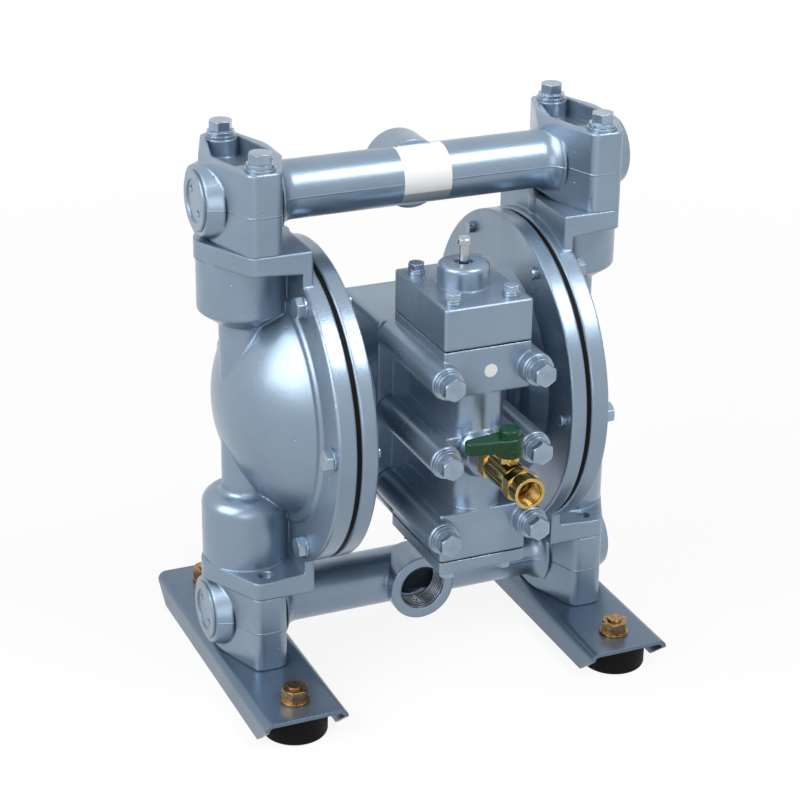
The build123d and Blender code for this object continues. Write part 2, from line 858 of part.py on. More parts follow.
def build_valve_body():
    """The air valve casting with a round spool housing, square ends and six bosses."""
    nose_y = valve_core_radius - valve_front
    height = valve_top_z + valve_bottom_z
    with BuildPart() as valve:
        valve_slab(valve_upper_step_z, valve_top_z - valve_upper_step_z)
        valve_slab(-valve_bottom_z, valve_bottom_z - valve_lower_step_z)
        fillet(valve.edges().filter_by(Axis.Z), valve_edge_fillet)
        with BuildSketch(Plane.XY.offset(-valve_bottom_z)) as core:
            with BuildLine():
                Polyline(
                    (-valve_core_radius, nose_y),
                    (-valve_core_radius, -valve_rear),
                    (valve_core_radius, -valve_rear),
                    (valve_core_radius, nose_y),
                )
                ThreePointArc(
                    (valve_core_radius, nose_y), (0, -valve_front), (-valve_core_radius, nose_y)
                )
            make_face()
        extrude(core.sketch, amount=height)
        with Locations((0, -valve_rear, 0)):
            Box(
                2 * valve_bolt_x, valve_depth - middle_web_inset, middle_web_height,
                align=(Align.CENTER, Align.MAX, Align.CENTER),
            )
        for x, z in valve_bolt_spots():
            bar((x, -valve_rear, z), front, valve_boss_radius, valve_boss_front - valve_rear)
        boss_rims = valve.edges().filter_by(GeomType.CIRCLE).group_by(Axis.Y)[0]
        fillet(boss_rims, valve_boss_fillet)
        cone_start = inlet_boss_front - inlet_boss_height
        bar((0, -valve_axis_y, inlet_z), front, valve_core_radius, cone_start - valve_axis_y)
        with Locations(Plane(origin=(0, -cone_start, inlet_z), z_dir=front)):
            Cone(valve_core_radius, inlet_boss_radius, inlet_boss_height, align=base_up)
        bore((0, -valve_axis_y, -valve_bottom_z), up, sleeve_radius + press_gap, height)
        inlet_face = Vector(0, -inlet_boss_front, inlet_z)
        bore(inlet_face, rear, inlet_thread_radius, inlet_thread_depth)
        bore(inlet_face, rear, nipple_bore_radius, inlet_boss_front - valve_axis_y)
        for x, z in valve_bolt_spots():
            bore((x, -valve_rear, z), front, m10_radius + hole_gap, valve_boss_front - valve_rear)
        for x, y in cap_bolt_spots():
            bore((x, y, valve_top_z), down, m6_radius + thread_gap, cap_thread_depth)
            bore((x, y, -valve_bottom_z), up, m6_radius + thread_gap, cap_thread_depth)
    return valve.part


def build_top_cap():
    """The tall top cap with the round boss of the reset button."""
    with BuildPart() as cap:
        valve_slab(cap_base_z, top_cap_height)
        fillet(cap.edges().filter_by(Axis.Z), valve_edge_fillet)
        fillet(cap.edges().group_by(Axis.Z)[-1], valve_edge_fillet / 2)
        bar((0, -valve_axis_y, cap_top_z), up, reset_boss_radius, reset_boss_height)
        fillet(cap.edges().group_by(Axis.Z)[-1], reset_boss_fillet)
        foot = Vector(0, -valve_axis_y, cap_base_z)
        bore(foot, up, cap_bore_radius, cap_bore_depth)
        bore(foot, up, reset_stem_radius + running_gap, reset_boss_top_z - cap_base_z)
        bore((0, -valve_axis_y, reset_boss_top_z), down, reset_well_radius, reset_well_depth)
        for x, y in cap_bolt_spots():
            bore((x, y, cap_base_z), up, m6_radius + hole_gap, top_cap_height)
    return cap.part


def build_bottom_cap():
    """The flat bottom cap of the air valve."""
    with BuildPart() as cap:
        valve_slab(bottom_cap_top_z - bottom_cap_height, bottom_cap_height)
        fillet(cap.edges().filter_by(Axis.Z), valve_edge_fillet)
        fillet(cap.edges().group_by(Axis.Z)[0], valve_edge_fillet / 2)
        for x, y in cap_bolt_spots():
            bore((x, y, bottom_cap_top_z), down, m6_radius + hole_gap, bottom_cap_height)
    return cap.part


def build_cap_gasket(base_z):
    """A gasket between the air valve casting and one of its caps."""
    with BuildPart() as gasket:
        valve_slab(base_z, gasket_thickness, valve_half_width - fitting_gap)
        fillet(gasket.edges().filter_by(Axis.Z), valve_edge_fillet)
        bore((0, -valve_axis_y, base_z), up, sleeve_radius, gasket_thickness)
        for x, y in cap_bolt_spots():
            bore((x, y, base_z), up, m6_radius + hole_gap, gasket_thickness)
    return gasket.part


def build_valve_gasket():
    """The gasket between the air valve and the centre body."""
    boss_radius = valve_boss_radius - fitting_gap
    with BuildPart() as gasket:
        with Locations((0, -body_front, 0)):
            Box(
                2 * valve_bolt_x, gasket_thickness, 2 * valve_bolt_z,
                align=(Align.CENTER, Align.MAX, Align.CENTER),
            )
        for x, z in valve_bolt_spots():
            bar((x, -body_front, z), front, boss_radius, gasket_thickness)
        for x, z in valve_bolt_spots():
            bore((x, -body_front, z), front, m10_radius + hole_gap, gasket_thickness)
    return gasket.part


def build_sleeve():
    """The ported sleeve that the spool slides in."""
    with BuildPart() as sleeve:
        base = Vector(0, -valve_axis_y, -valve_bottom_z)
        length = valve_top_z + valve_bottom_z
        bar(base, up, sleeve_radius, length)
        bore(base, up, spool_radius + running_gap, length)
        for row in (-1, 0, 1):
            start = Vector(0, sleeve_radius - valve_axis_y, row * sleeve_port_spacing)
            bore(start, front, sleeve_port_radius, 2 * sleeve_radius)
    return sleeve.part


def build_spool():
    """The spool with three lands and two grooves."""
    end, land = spool_half_length, spool_land
    with BuildPart() as spool:
        bar((0, -valve_axis_y, spool_rest_z - end), up, spool_groove_radius, 2 * end)
        for base in (-end, -land / 2, end - land):
            bar((0, -valve_axis_y, spool_rest_z + base), up, spool_radius, land)
        outer = spool.edges().filter_by(GeomType.CIRCLE)
        ends = [outer.sort_by(Axis.Z)[0], outer.sort_by(Axis.Z)[-1]]
        chamfer(ends, spool_chamfer)
    return spool.part


def build_reset_button():
    """The reset button: a headed stem with a collar that its spring lifts."""
    head_base = reset_boss_top_z + reset_rise - reset_head_height
    collar_top = cap_base_z + cap_bore_depth - loose_gap
    spool_top = spool_half_length - spool_rest_z
    stem_end = spool_top + reset_travel + loose_gap
    with BuildPart() as button:
        bar((0, -valve_axis_y, head_base), up, reset_head_radius, reset_head_height)
        chamfer(button.edges().group_by(Axis.Z)[-1], reset_head_chamfer)
        bar((0, -valve_axis_y, head_base), down, reset_stem_radius, head_base - stem_end)
        bar((0, -valve_axis_y, collar_top), down, reset_collar_radius, reset_collar_height)
    return button.part


def build_reset_spring():
    """The return spring of the reset button, on the sleeve's end face."""
    base = valve_top_z + spring_wire_radius + running_gap
    collar_bottom = cap_base_z + cap_bore_depth - loose_gap - reset_collar_height
    height = collar_bottom - spring_wire_radius - running_gap - base
    with BuildPart() as spring:
        with BuildLine() as coil:
            Helix(height / spring_turns, height, spring_radius, center=(0, -valve_axis_y, base))
        with BuildSketch(Plane(origin=coil.line @ 0, z_dir=coil.line % 0)):
            RegularPolygon(spring_wire_radius, 6)
        sweep(path=coil.line, is_frenet=True)
    return spring.part


def build_nipple():
    """The steel nipple between the air valve and its ball valve."""
    start = inlet_boss_front - inlet_thread_depth + thread_end_gap
    hex_start = inlet_boss_front + fitting_gap
    thread = inlet_thread_radius - thread_gap
    end = nipple_end + ball_body_flats_length
    with BuildPart() as nipple:
        bar((0, -start, inlet_z), front, thread, end - start)
        hex_bar((0, -hex_start, inlet_z), front, nipple_flats, nipple_flats_length)
        bore((0, -start, inlet_z), front, nipple_bore_radius, end - start)
    return nipple.part


def build_ball_valve_body():
    """The brass ball valve body with a hexagon end and a stem boss."""
    cavity_start = stem_y - ball_cavity_radius
    rear_face = Vector(0, -nipple_end, inlet_z)
    with BuildPart() as valve:
        hex_bar(rear_face, front, ball_body_flats, ball_body_flats_length)
        bar(rear_face, front, ball_body_radius, ball_body_front - nipple_end)
        bar((0, -stem_y, inlet_z), up, stem_boss_radius, stem_boss_height)
        bore(rear_face, front, inlet_thread_radius, ball_body_flats_length + fitting_gap)
        bore(rear_face, front, nipple_bore_radius, ball_body_front - nipple_end)
        bore(
            (0, -cavity_start, inlet_z), front, ball_cavity_radius,
            ball_body_front - cavity_start,
        )
        bore((0, -stem_y, inlet_z), up, stem_radius + running_gap, stem_boss_height)
    return valve.part


def build_inlet_end():
    """The brass end piece of the ball valve, with the female air thread."""
    inner = stem_y + ball_cavity_radius
    with BuildPart() as end:
        bar(
            (0, -inner, inlet_z), front, ball_cavity_radius - thread_gap,
            ball_body_front - inner,
        )
        hex_bar((0, -ball_body_front, inlet_z), front, inlet_end_flats, inlet_end_flats_length)
        bar(
            (0, -ball_body_front, inlet_z), front, inlet_end_radius,
            inlet_end_face - ball_body_front,
        )
        bore((0, -inner, inlet_z), front, nipple_bore_radius, inlet_end_face - inner)
        bore((0, -inlet_end_face, inlet_z), rear, inlet_end_bore_radius, inlet_end_bore_depth)
    return end.part


def build_ball_seats():
    """The two seat rings that the bored ball turns between."""
    seats = []
    for way in (rear, front):
        origin = Vector(0, -stem_y, inlet_z) + way * ball_cavity_radius
        seats.append(
            tube_ring(
                origin, -way, ball_cavity_radius - seat_gap, nipple_bore_radius,
                ball_seat_thickness,
            )
        )
    return Compound(seats)


def build_valve_ball():
    """The bored ball of the ball valve, shut at rest, with its stem."""
    stem_length = lever_top_z + handle_nut_height - inlet_z
    with BuildPart() as ball:
        with Locations((0, -stem_y, inlet_z)):
            Sphere(valve_ball_radius)
        bar((0, -stem_y, inlet_z), up, stem_radius, stem_length)
        bore(
            (-valve_ball_radius, -stem_y, inlet_z), outward, nipple_bore_radius,
            2 * valve_ball_radius,
        )
    return ball.part


def build_handle():
    """The moulded lever handle, across the flow when shut, closed over its nut."""
    base = Vector(0, -stem_y, inlet_z + handle_rise)
    lever_top = Vector(0, -stem_y, lever_top_z)
    with BuildPart() as handle:
        with BuildSketch(Plane(origin=(0, -stem_y, lever_base_z))) as outline:
            with BuildLine() as rounds:
                CenterArc((0, 0), lever_hub_radius, 0, 360)
                CenterArc((lever_tip_radius - lever_length, 0), lever_tip_radius, 0, 360)
            make_hull(rounds.edges())
        extrude(outline.sketch, amount=lever_height)
        levels = handle.edges().group_by(Axis.Z)
        fillet(levels[0] + levels[-1], lever_fillet)
        bar(base, up, handle_skirt_radius, handle_skirt_height + lever_fillet)
        bar(lever_top, up, handle_cap_radius, handle_cap_height)
        fillet(handle.edges().group_by(Axis.Z)[-1], lever_fillet)
        bore(lever_top, up, handle_cap_radius - handle_cap_wall, handle_cap_height - handle_cap_wall)
        bore(base, up, stem_radius + press_gap, lever_top_z - base.Z)
    return handle.part


def build_seat(side, upper):
    """A check valve seat ring with a bevelled lip."""
    with BuildPart() as seat:
        with Locations((side * column_x, 0, seat_base_z(upper))):
            Cylinder(housing_bore_radius - seat_gap, seat_thickness, align=base_up)
            Cylinder(seat_bore_radius, seat_thickness, align=base_up, mode=Mode.SUBTRACT)
        mouth = seat.edges().group_by(Axis.Z)[-1].sort_by(SortBy.RADIUS)[0]
        chamfer(mouth, seat_lip)
    return seat.part


def seat_base_z(upper):
    """The height of the underside of a check valve seat."""
    return upper_shelf_z if upper else -joint_z


def build_check_ball(side, upper):
    """A check valve ball resting on the bevel of its seat."""
    lip_radius = seat_bore_radius + seat_lip / 2
    contact = sqrt(check_ball_radius**2 - lip_radius**2)
    rest_z = seat_base_z(upper) + seat_thickness - seat_lip / 2 + contact + check_ball_gap
    with BuildPart() as ball:
        with Locations((side * column_x, 0, rest_z)):
            Sphere(check_ball_radius)
    return ball.part


def build_seat_ring(side, upper):
    """The O-ring that seals a check valve seat."""
    seat_top_z = seat_base_z(upper) + seat_thickness
    with BuildPart() as ring:
        with Locations((side * column_x, 0, seat_top_z + ring_radius + seat_gap)):
            Torus(housing_bore_radius - ring_radius - seat_gap, ring_radius)
    return ring.part


def build_disk(side, outer):
    """A disk that clamps a diaphragm, with a raised hub."""
    way = outward if outer else -outward
    face = diaphragm_out if outer else diaphragm_in
    hub = outer_hub_height if outer else inner_hub_height
    with BuildPart() as disk:
        bar((face, 0, 0), way, disk_radius, disk_thickness)
        rim = disk.edges().filter_by(GeomType.CIRCLE).group_by(Axis.X)[-1 if outer else 0]
        fillet(rim, disk_thickness / 2)
        bar((face, 0, 0), way, disk_hub_radius, disk_thickness + hub)
        bore((face, 0, 0), way, rod_end_radius + thread_gap, disk_thickness + hub)
    return to_side(disk.part, side)


def build_rod():
    """The centre rod with a stepped end for each diaphragm."""
    shoulder = disk_back_x - inner_hub_height
    tip = diaphragm_out + disk_thickness + outer_hub_height + rod_nut_height + rod_tip
    with BuildPart() as rod:
        bar((-shoulder, 0, 0), outward, rod_radius, 2 * shoulder)
        bar((-tip, 0, 0), outward, rod_end_radius, 2 * tip)
    return rod.part


def build_pilot_pin(side):
    """A pilot pin, which the inner disk reaches at the end of its stroke."""
    tip = disk_back_x - stroke - loose_gap
    with BuildPart() as pin:
        bar((tip, 0, side * pilot_pin_z), -outward, pilot_pin_radius, pilot_pin_length)
        chamfer(pin.edges().group_by(Axis.X)[-1], pilot_pin_chamfer)
    return to_side(pin.part, side)


def build_channel(side):
    """A folded foot channel with flanges cut back at its ends."""
    top_z = -block_end_z
    cut_z = web_under_z - channel_bend_radius + channel_thickness
    with BuildPart() as channel:
        with Locations((side * column_x, 0, top_z)):
            Box(
                channel_width, 2 * channel_half_length, channel_height,
                align=(Align.CENTER, Align.CENTER, Align.MAX),
            )
        bends = channel.edges().filter_by(Axis.Y).group_by(Axis.Z)[-1]
        fillet(bends, channel_bend_radius)
        ends = channel.faces().filter_by(Axis.Y)
        base = channel.faces().filter_by(Axis.Z).sort_by(Axis.Z)[0]
        offset(amount=-channel_thickness, openings=[*ends, base], kind=Kind.INTERSECTION)
        for sign in (left, right):
            end = sign * channel_half_length
            with BuildSketch(Plane.YZ.offset(side * column_x - channel_width / 2)) as corner:
                with BuildLine():
                    Polyline(
                        (end, cut_z),
                        (end, top_z - channel_height),
                        (end - sign * channel_end_cut, top_z - channel_height),
                        close=True,
                    )
                make_face()
            extrude(corner.sketch, amount=channel_width, mode=Mode.SUBTRACT)
            bore((side * column_x, sign * foot_y, top_z), down, m10_radius + hole_gap, channel_thickness)
            bore(
                (side * column_x, sign * bolt_pair_y, top_z), down, m10_radius + hole_gap,
                channel_thickness,
            )
    return channel.part


def build_foot():
    """A rubber foot hanging from z = 0, with a threaded hole at each end."""
    with BuildPart() as foot:
        Cylinder(foot_radius, foot_height, align=(Align.CENTER, Align.CENTER, Align.MAX))
        fillet(foot.edges().group_by(Axis.Z)[0], foot_edge_fillet)
        bore((0, 0, 0), down, m10_radius + thread_gap, stud_sunk + fitting_gap)
        bore((0, 0, -foot_height), up, foot_insert_radius, foot_insert_depth)
    return foot.part


def build_silencer():
    """The exhaust silencer, a grooved cup on a threaded hexagon."""
    thread_start = exhaust_boss_face - silencer_thread_length
    cup_start = exhaust_boss_face + silencer_flats_length
    pitch = silencer_length / (silencer_groove_count + 1)
    with BuildPart() as silencer:
        bar((0, cup_start, 0), rear, silencer_radius, silencer_length)
        fillet(silencer.edges().filter_by(GeomType.CIRCLE).group_by(Axis.Y)[-1], silencer_fillet)
        for number in range(silencer_groove_count):
            groove_y = cup_start + pitch * (number + 1) - silencer_groove / 2
            with BuildSketch(Plane(origin=(0, groove_y, 0), z_dir=rear)) as groove:
                Circle(silencer_radius + silencer_groove_depth)
                Circle(silencer_radius - silencer_groove_depth, mode=Mode.SUBTRACT)
            extrude(groove.sketch, amount=silencer_groove, mode=Mode.SUBTRACT)
        hex_bar((0, exhaust_boss_face, 0), rear, silencer_flats, silencer_flats_length)
        bar(
            (0, thread_start, 0), rear, exhaust_thread_radius - thread_gap,
            silencer_thread_length,
        )
    return silencer.part


def export_liquid_end():
    """The chambers, diaphragms, manifolds and check valves."""
    for name, side in (("left", left), ("right", right)):
        save(build_out_chamber(side), f"{name}_out_chamber")
        save(build_air_chamber(side), f"{name}_air_chamber")
        save(build_diaphragm(side), f"{name}_diaphragm")
        save(build_disk(side, True), f"{name}_outer_disk")
        save(build_disk(side, False), f"{name}_inner_disk")
        save(build_pilot_pin(side), f"{name}_pilot_pin")
        save(build_check_ball(side, True), f"{name}_upper_ball")
        save(build_check_ball(side, False), f"{name}_lower_ball")
    corners = [(side, upper) for side in (left, right) for upper in (False, True)]
    save(Compound([build_seat(*corner) for corner in corners]), "check_valve_seats")
    save(Compound([build_seat_ring(*corner) for corner in corners]), "seat_o_rings")
    upper_manifold = build_manifold()
    save(upper_manifold, "upper_manifold")
    save(Rotation(180, 0, 0) * upper_manifold, "lower_manifold")
    plug_places = [
        seat_on(side * plug_boss_face_x, 0, level * manifold_z, outward * side)
        for side in (left, right) for level in (-1, 1)
    ]
    save(group(build_end_plug(), plug_places), "end_plugs")


def export_rod_pieces():
    """The centre rod with its bushes, seals and nuts."""
    save(build_rod(), "centre_rod")
    bush = tube_ring(
        (air_hub_back - bush_length, 0, 0), outward, bush_radius - press_gap,
        rod_radius + running_gap, bush_length,
    )
    seal = tube_ring(
        (air_hub_back, 0, 0), outward, bush_radius - press_gap, rod_radius + running_gap,
        air_floor_thickness,
    )
    save(Compound([to_side(bush, side) for side in (left, right)]), "rod_bushes")
    save(Compound([to_side(seal, side) for side in (left, right)]), "rod_seals")
    nut_x = diaphragm_out + disk_thickness + outer_hub_height
    nut_places = [seat_on(side * nut_x, 0, 0, outward * side) for side in (left, right)]
    save(group(hex_nut(rod_end_radius, rod_nut_flats, rod_nut_height), nut_places), "rod_nuts")


def export_air_valve():
    """The centre body, the air valve on it and the silencer behind it."""
    save(build_centre_body(), "centre_body")
    save(build_valve_body(), "air_valve_body")
    save(build_valve_gasket(), "air_valve_gasket")
    save(build_top_cap(), "top_cap")
    save(build_bottom_cap(), "bottom_cap")
    gaskets = [build_cap_gasket(valve_top_z), build_cap_gasket(bottom_cap_top_z)]
    save(Compound(gaskets), "cap_gaskets")
    save(build_sleeve(), "spool_sleeve")
    save(build_spool(), "spool")
    save(build_reset_button(), "reset_button")
    save(build_reset_spring(), "reset_spring")
    save(build_silencer(), "silencer")


def export_inlet():
    """The air inlet nipple and the ball valve."""
    save(build_nipple(), "inlet_nipple")
    save(build_ball_valve_body(), "ball_valve_body")
    save(build_inlet_end(), "ball_valve_end")
    save(build_ball_seats(), "ball_valve_seats")
    save(build_valve_ball(), "ball_valve_ball")
    save(build_handle(), "ball_valve_handle")
    nut_place = seat_on(0, -stem_y, lever_top_z, up)
    save(group(hex_nut(stem_radius, handle_nut_flats, handle_nut_height), [nut_place]), "handle_nut")


def export_fasteners():
    """The screws, bolts and washers, one node for each kind."""
    m10_rise = m10_washer + m10_spring
    m6_rise = m6_washer + m6_spring
    bolt_seat_x = out_flange_face + m8_washer
    bolt_length = bolt_seat_x - air_flange_back + m8_end
    bolt_places, washer_places = [], []
    for side in (left, right):
        way = outward * side
        for y, z in flange_bolt_spots():
            washer_places.append(seat_on(side * out_flange_face, y, z, way))
            bolt_places.append(seat_on(side * bolt_seat_x, y, z, way))
    save(group(hex_bolt(m8_radius, m8_flats, m8_head, bolt_length), bolt_places), "flange_bolts")
    save(group(washer(m8_radius, m8_washer_radius, m8_washer), washer_places), "flange_washers")

    screw_x = air_floor_x - fitting_gap - m6_head
    screw_length = screw_x - air_hub_back + air_screw_depth - thread_end_gap
    with BuildPart() as screw:
        bar((0, 0, 0), up, air_screw_head_radius, m6_head)
        bar((0, 0, 0), down, m6_radius, screw_length)
    screw_places = [
        seat_on(side * screw_x, y, z, outward * side)
        for side in (left, right) for y, z in air_screw_spots()
    ]
    save(group(screw.part, screw_places), "air_chamber_screws")

    washer_places, spring_places, bolt_places = [], [], []
    for x, y in manifold_bolt_spots():
        for way, seat_z in ((up, block_end_z), (down, -web_under_z)):
            washer_places.append(seat_on(x, y, way.Z * seat_z, way))
            spring_places.append(seat_on(x, y, way.Z * (seat_z + m10_washer), way))
            bolt_places.append(seat_on(x, y, way.Z * (seat_z + m10_rise), way))
    bolt_length = m10_rise + block_height + plate_thickness
    manifold_bolt = hex_bolt(m10_radius, m10_bolt_flats, m10_head, bolt_length)
    save(group(manifold_bolt, bolt_places), "manifold_bolts")
    m10_ring = washer(m10_radius, m10_washer_radius, m10_washer)
    save(group(m10_ring, washer_places), "manifold_washers")

    washer_places, bolt_places = [], []
    for x, z in valve_bolt_spots():
        washer_places.append(seat_on(x, -valve_boss_front, z, front))
        spring_places.append(seat_on(x, -valve_boss_front - m10_washer, z, front))
        bolt_places.append(seat_on(x, -valve_boss_front - m10_rise, z, front))
    shank_depth = valve_thread_depth - thread_end_gap
    valve_bolt_length = valve_boss_front + m10_rise - body_front + shank_depth
    valve_bolt = hex_bolt(m10_radius, m10_bolt_flats, m10_head, valve_bolt_length)
    save(group(valve_bolt, bolt_places), "air_valve_bolts")
    save(group(m10_ring, washer_places), "air_valve_washers")
    m10_coil = spring_washer(m10_radius, m10_spring_radius, m10_spring)
    save(group(m10_coil, spring_places), "m10_spring_washers")

    washer_places, spring_places, bolt_places = [], [], []
    for x, y in cap_bolt_spots():
        for way, seat_z in ((up, cap_top_z), (down, bottom_cap_height - bottom_cap_top_z)):
            washer_places.append(seat_on(x, y, way.Z * seat_z, way))
            spring_places.append(seat_on(x, y, way.Z * (seat_z + m6_washer), way))
            bolt_places.append(seat_on(x, y, way.Z * (seat_z + m6_rise), way))
    shank_depth = m6_rise + gasket_thickness + cap_thread_depth - thread_end_gap
    top_bolt = hex_bolt(m6_radius, m6_flats, m6_head, top_cap_height + shank_depth)
    bottom_bolt = hex_bolt(m6_radius, m6_flats, m6_head, bottom_cap_height + shank_depth)
    cap_bolts = [place * top_bolt for place in bolt_places[0::2]]
    cap_bolts += [place * bottom_bolt for place in bolt_places[1::2]]
    save(Compound(cap_bolts), "cap_bolts")
    save(group(washer(m6_radius, m6_washer_radius, m6_washer), washer_places), "cap_washers")
    m6_coil = spring_washer(m6_radius, m6_spring_radius, m6_spring)
    save(group(m6_coil, spring_places), "m6_spring_washers")


def export_feet():
    """The foot channels with their rubber feet, studs and nuts."""
    save(build_channel(left), "left_foot_channel")
    save(build_channel(right), "right_foot_channel")
    foot_places = [Pos(x, y, web_under_z) for x, y in foot_spots()]
    save(group(build_foot(), foot_places), "rubber_feet")
    with BuildPart() as stud:
        bar((0, 0, -stud_sunk), up, m10_radius, stud_length)
    save(group(stud.part, foot_places), "foot_studs")
    washer_places = [Pos(x, y, -block_end_z) for x, y in foot_spots()]
    save(group(washer(m10_radius, m10_washer_radius, m10_washer), washer_places), "foot_washers")
    nut_places = [Pos(x, y, m10_washer - block_end_z) for x, y in foot_spots()]
    save(group(hex_nut(m10_radius, m10_nut_flats, m10_nut), nut_places), "foot_nuts")


export_liquid_end()
export_rod_pieces()
export_air_valve()
export_inlet()
export_fasteners()
export_feet()
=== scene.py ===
"""Dresses the air operated diaphragm pump: finishes, threads, stickers, light and camera.

Everything is in metres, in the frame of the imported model. The pump's castings, bolts
and fittings come from that frame; this script adds what a finish or a thin relief gives.
"""

from __future__ import annotations

import json
import logging
import math
from dataclasses import dataclass, field, replace
from enum import Enum

import bmesh
import bpy
from mathutils import Matrix, Vector

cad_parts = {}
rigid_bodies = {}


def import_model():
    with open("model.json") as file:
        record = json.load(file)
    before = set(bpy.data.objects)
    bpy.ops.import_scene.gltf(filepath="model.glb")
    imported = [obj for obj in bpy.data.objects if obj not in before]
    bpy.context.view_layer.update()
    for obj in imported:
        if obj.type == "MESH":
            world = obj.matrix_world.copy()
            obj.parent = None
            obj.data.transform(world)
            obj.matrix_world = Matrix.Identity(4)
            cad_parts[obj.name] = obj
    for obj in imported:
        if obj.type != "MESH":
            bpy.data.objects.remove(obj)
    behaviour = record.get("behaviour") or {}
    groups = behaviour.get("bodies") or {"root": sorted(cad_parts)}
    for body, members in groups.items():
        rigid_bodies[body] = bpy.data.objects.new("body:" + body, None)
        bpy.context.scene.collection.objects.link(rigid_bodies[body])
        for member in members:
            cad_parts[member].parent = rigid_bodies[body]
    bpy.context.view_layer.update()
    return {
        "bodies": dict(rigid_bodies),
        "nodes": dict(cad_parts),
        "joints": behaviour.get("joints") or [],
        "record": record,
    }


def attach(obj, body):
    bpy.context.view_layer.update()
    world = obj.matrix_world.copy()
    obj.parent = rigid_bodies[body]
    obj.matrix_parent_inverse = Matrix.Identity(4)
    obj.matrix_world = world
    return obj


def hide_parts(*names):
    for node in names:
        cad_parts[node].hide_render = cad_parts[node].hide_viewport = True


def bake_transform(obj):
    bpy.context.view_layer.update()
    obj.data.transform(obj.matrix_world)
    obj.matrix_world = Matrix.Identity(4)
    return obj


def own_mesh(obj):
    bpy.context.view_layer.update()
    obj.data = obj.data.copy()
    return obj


LOG = logging.getLogger("pump")
MM = 0.001
IMAGE_PIXELS = 800
PUMP_HEIGHT = 203 * MM
# The line that a mould leaves on a casting.
SEAM_HALF_WIDTH_MM = 0.8
SEAM_HEIGHT_MM = 0.22
# The share of the cells of a pitted surface that hold a pit, and its floor and brim as shares of a cell.
PIT_SHARE = 0.22
PIT_FLOOR = 0.05
PIT_BRIM = 0.11
# The part of a noise's range in which its patches fade in.
PATCH_START = 0.35
PATCH_FULL = 0.7
SMOOTH_START = 0.3
LEAST_ROUGHNESS = 0.02
BEVEL_SAMPLES = 6


class Axis(Enum):
    """The directions that round details run along."""

    FRONT = (0, -1, 0)
    REAR = (0, 1, 0)
    UP = (0, 0, 1)
    LEFT = (-1, 0, 0)
    RIGHT = (1, 0, 0)

    def at(self, place_mm: tuple[float, float, float]) -> Matrix:
        """A placement whose own z axis runs along this direction.

        Args:
            place_mm: Where it starts, from the middle of the centre rod.

        Returns:
            The placement in the model's frame.
        """
        turn = Vector((0, 0, 1)).rotation_difference(Vector(self.value)).to_matrix().to_4x4()
        return Matrix.Translation(Vector(place_mm) * MM + Vector((0, 0, PUMP_HEIGHT))) @ turn


class Relief(Enum):
    """The kinds of surface texture that a finish may carry."""

    NOISE = "noise"
    CELLS = "cells"
    PITS = "pits"


def linear(hex_colour: str) -> tuple[float, float, float, float]:
    """Turns an sRGB hex colour to linear values.

    Args:
        hex_colour: Six hex digits, such as "8a9bab".

    Returns:
        Red, green, blue and alpha as a shader takes them.
    """
    channels = [int(hex_colour[i:i + 2], 16) / 255 for i in (0, 2, 4)]
    values = [c / 12.92 if c <= 0.04045 else ((c + 0.055) / 1.055) ** 2.4 for c in channels]
    return values[0], values[1], values[2], 1.0


def add_node(tree: bpy.types.NodeTree, kind: str, inputs: dict[str | int, object] | None = None,
             **settings: object) -> bpy.types.Node:
    """Adds one node with its settings, values and links.

    Args:
        tree: The node tree that it goes into.
        kind: The node's Blender type name.
        inputs: Values or sockets for its inputs, by input name or number.
        **settings: Attributes of the node itself.

    Returns:
        The new node.
    """
    node = tree.nodes.new(kind)
    for name, value in settings.items():
        setattr(node, name, value)
    for name, value in (inputs or {}).items():
        if isinstance(value, bpy.types.NodeSocket):
            tree.links.new(value, node.inputs[name])
        else:
            node.inputs[name].default_value = value
    return node


@dataclass(frozen=True)
class Grain:
    """One layer of surface relief, by its real size and height in millimetres."""

    size_mm: float
    height_mm: float
    relief: Relief = Relief.NOISE


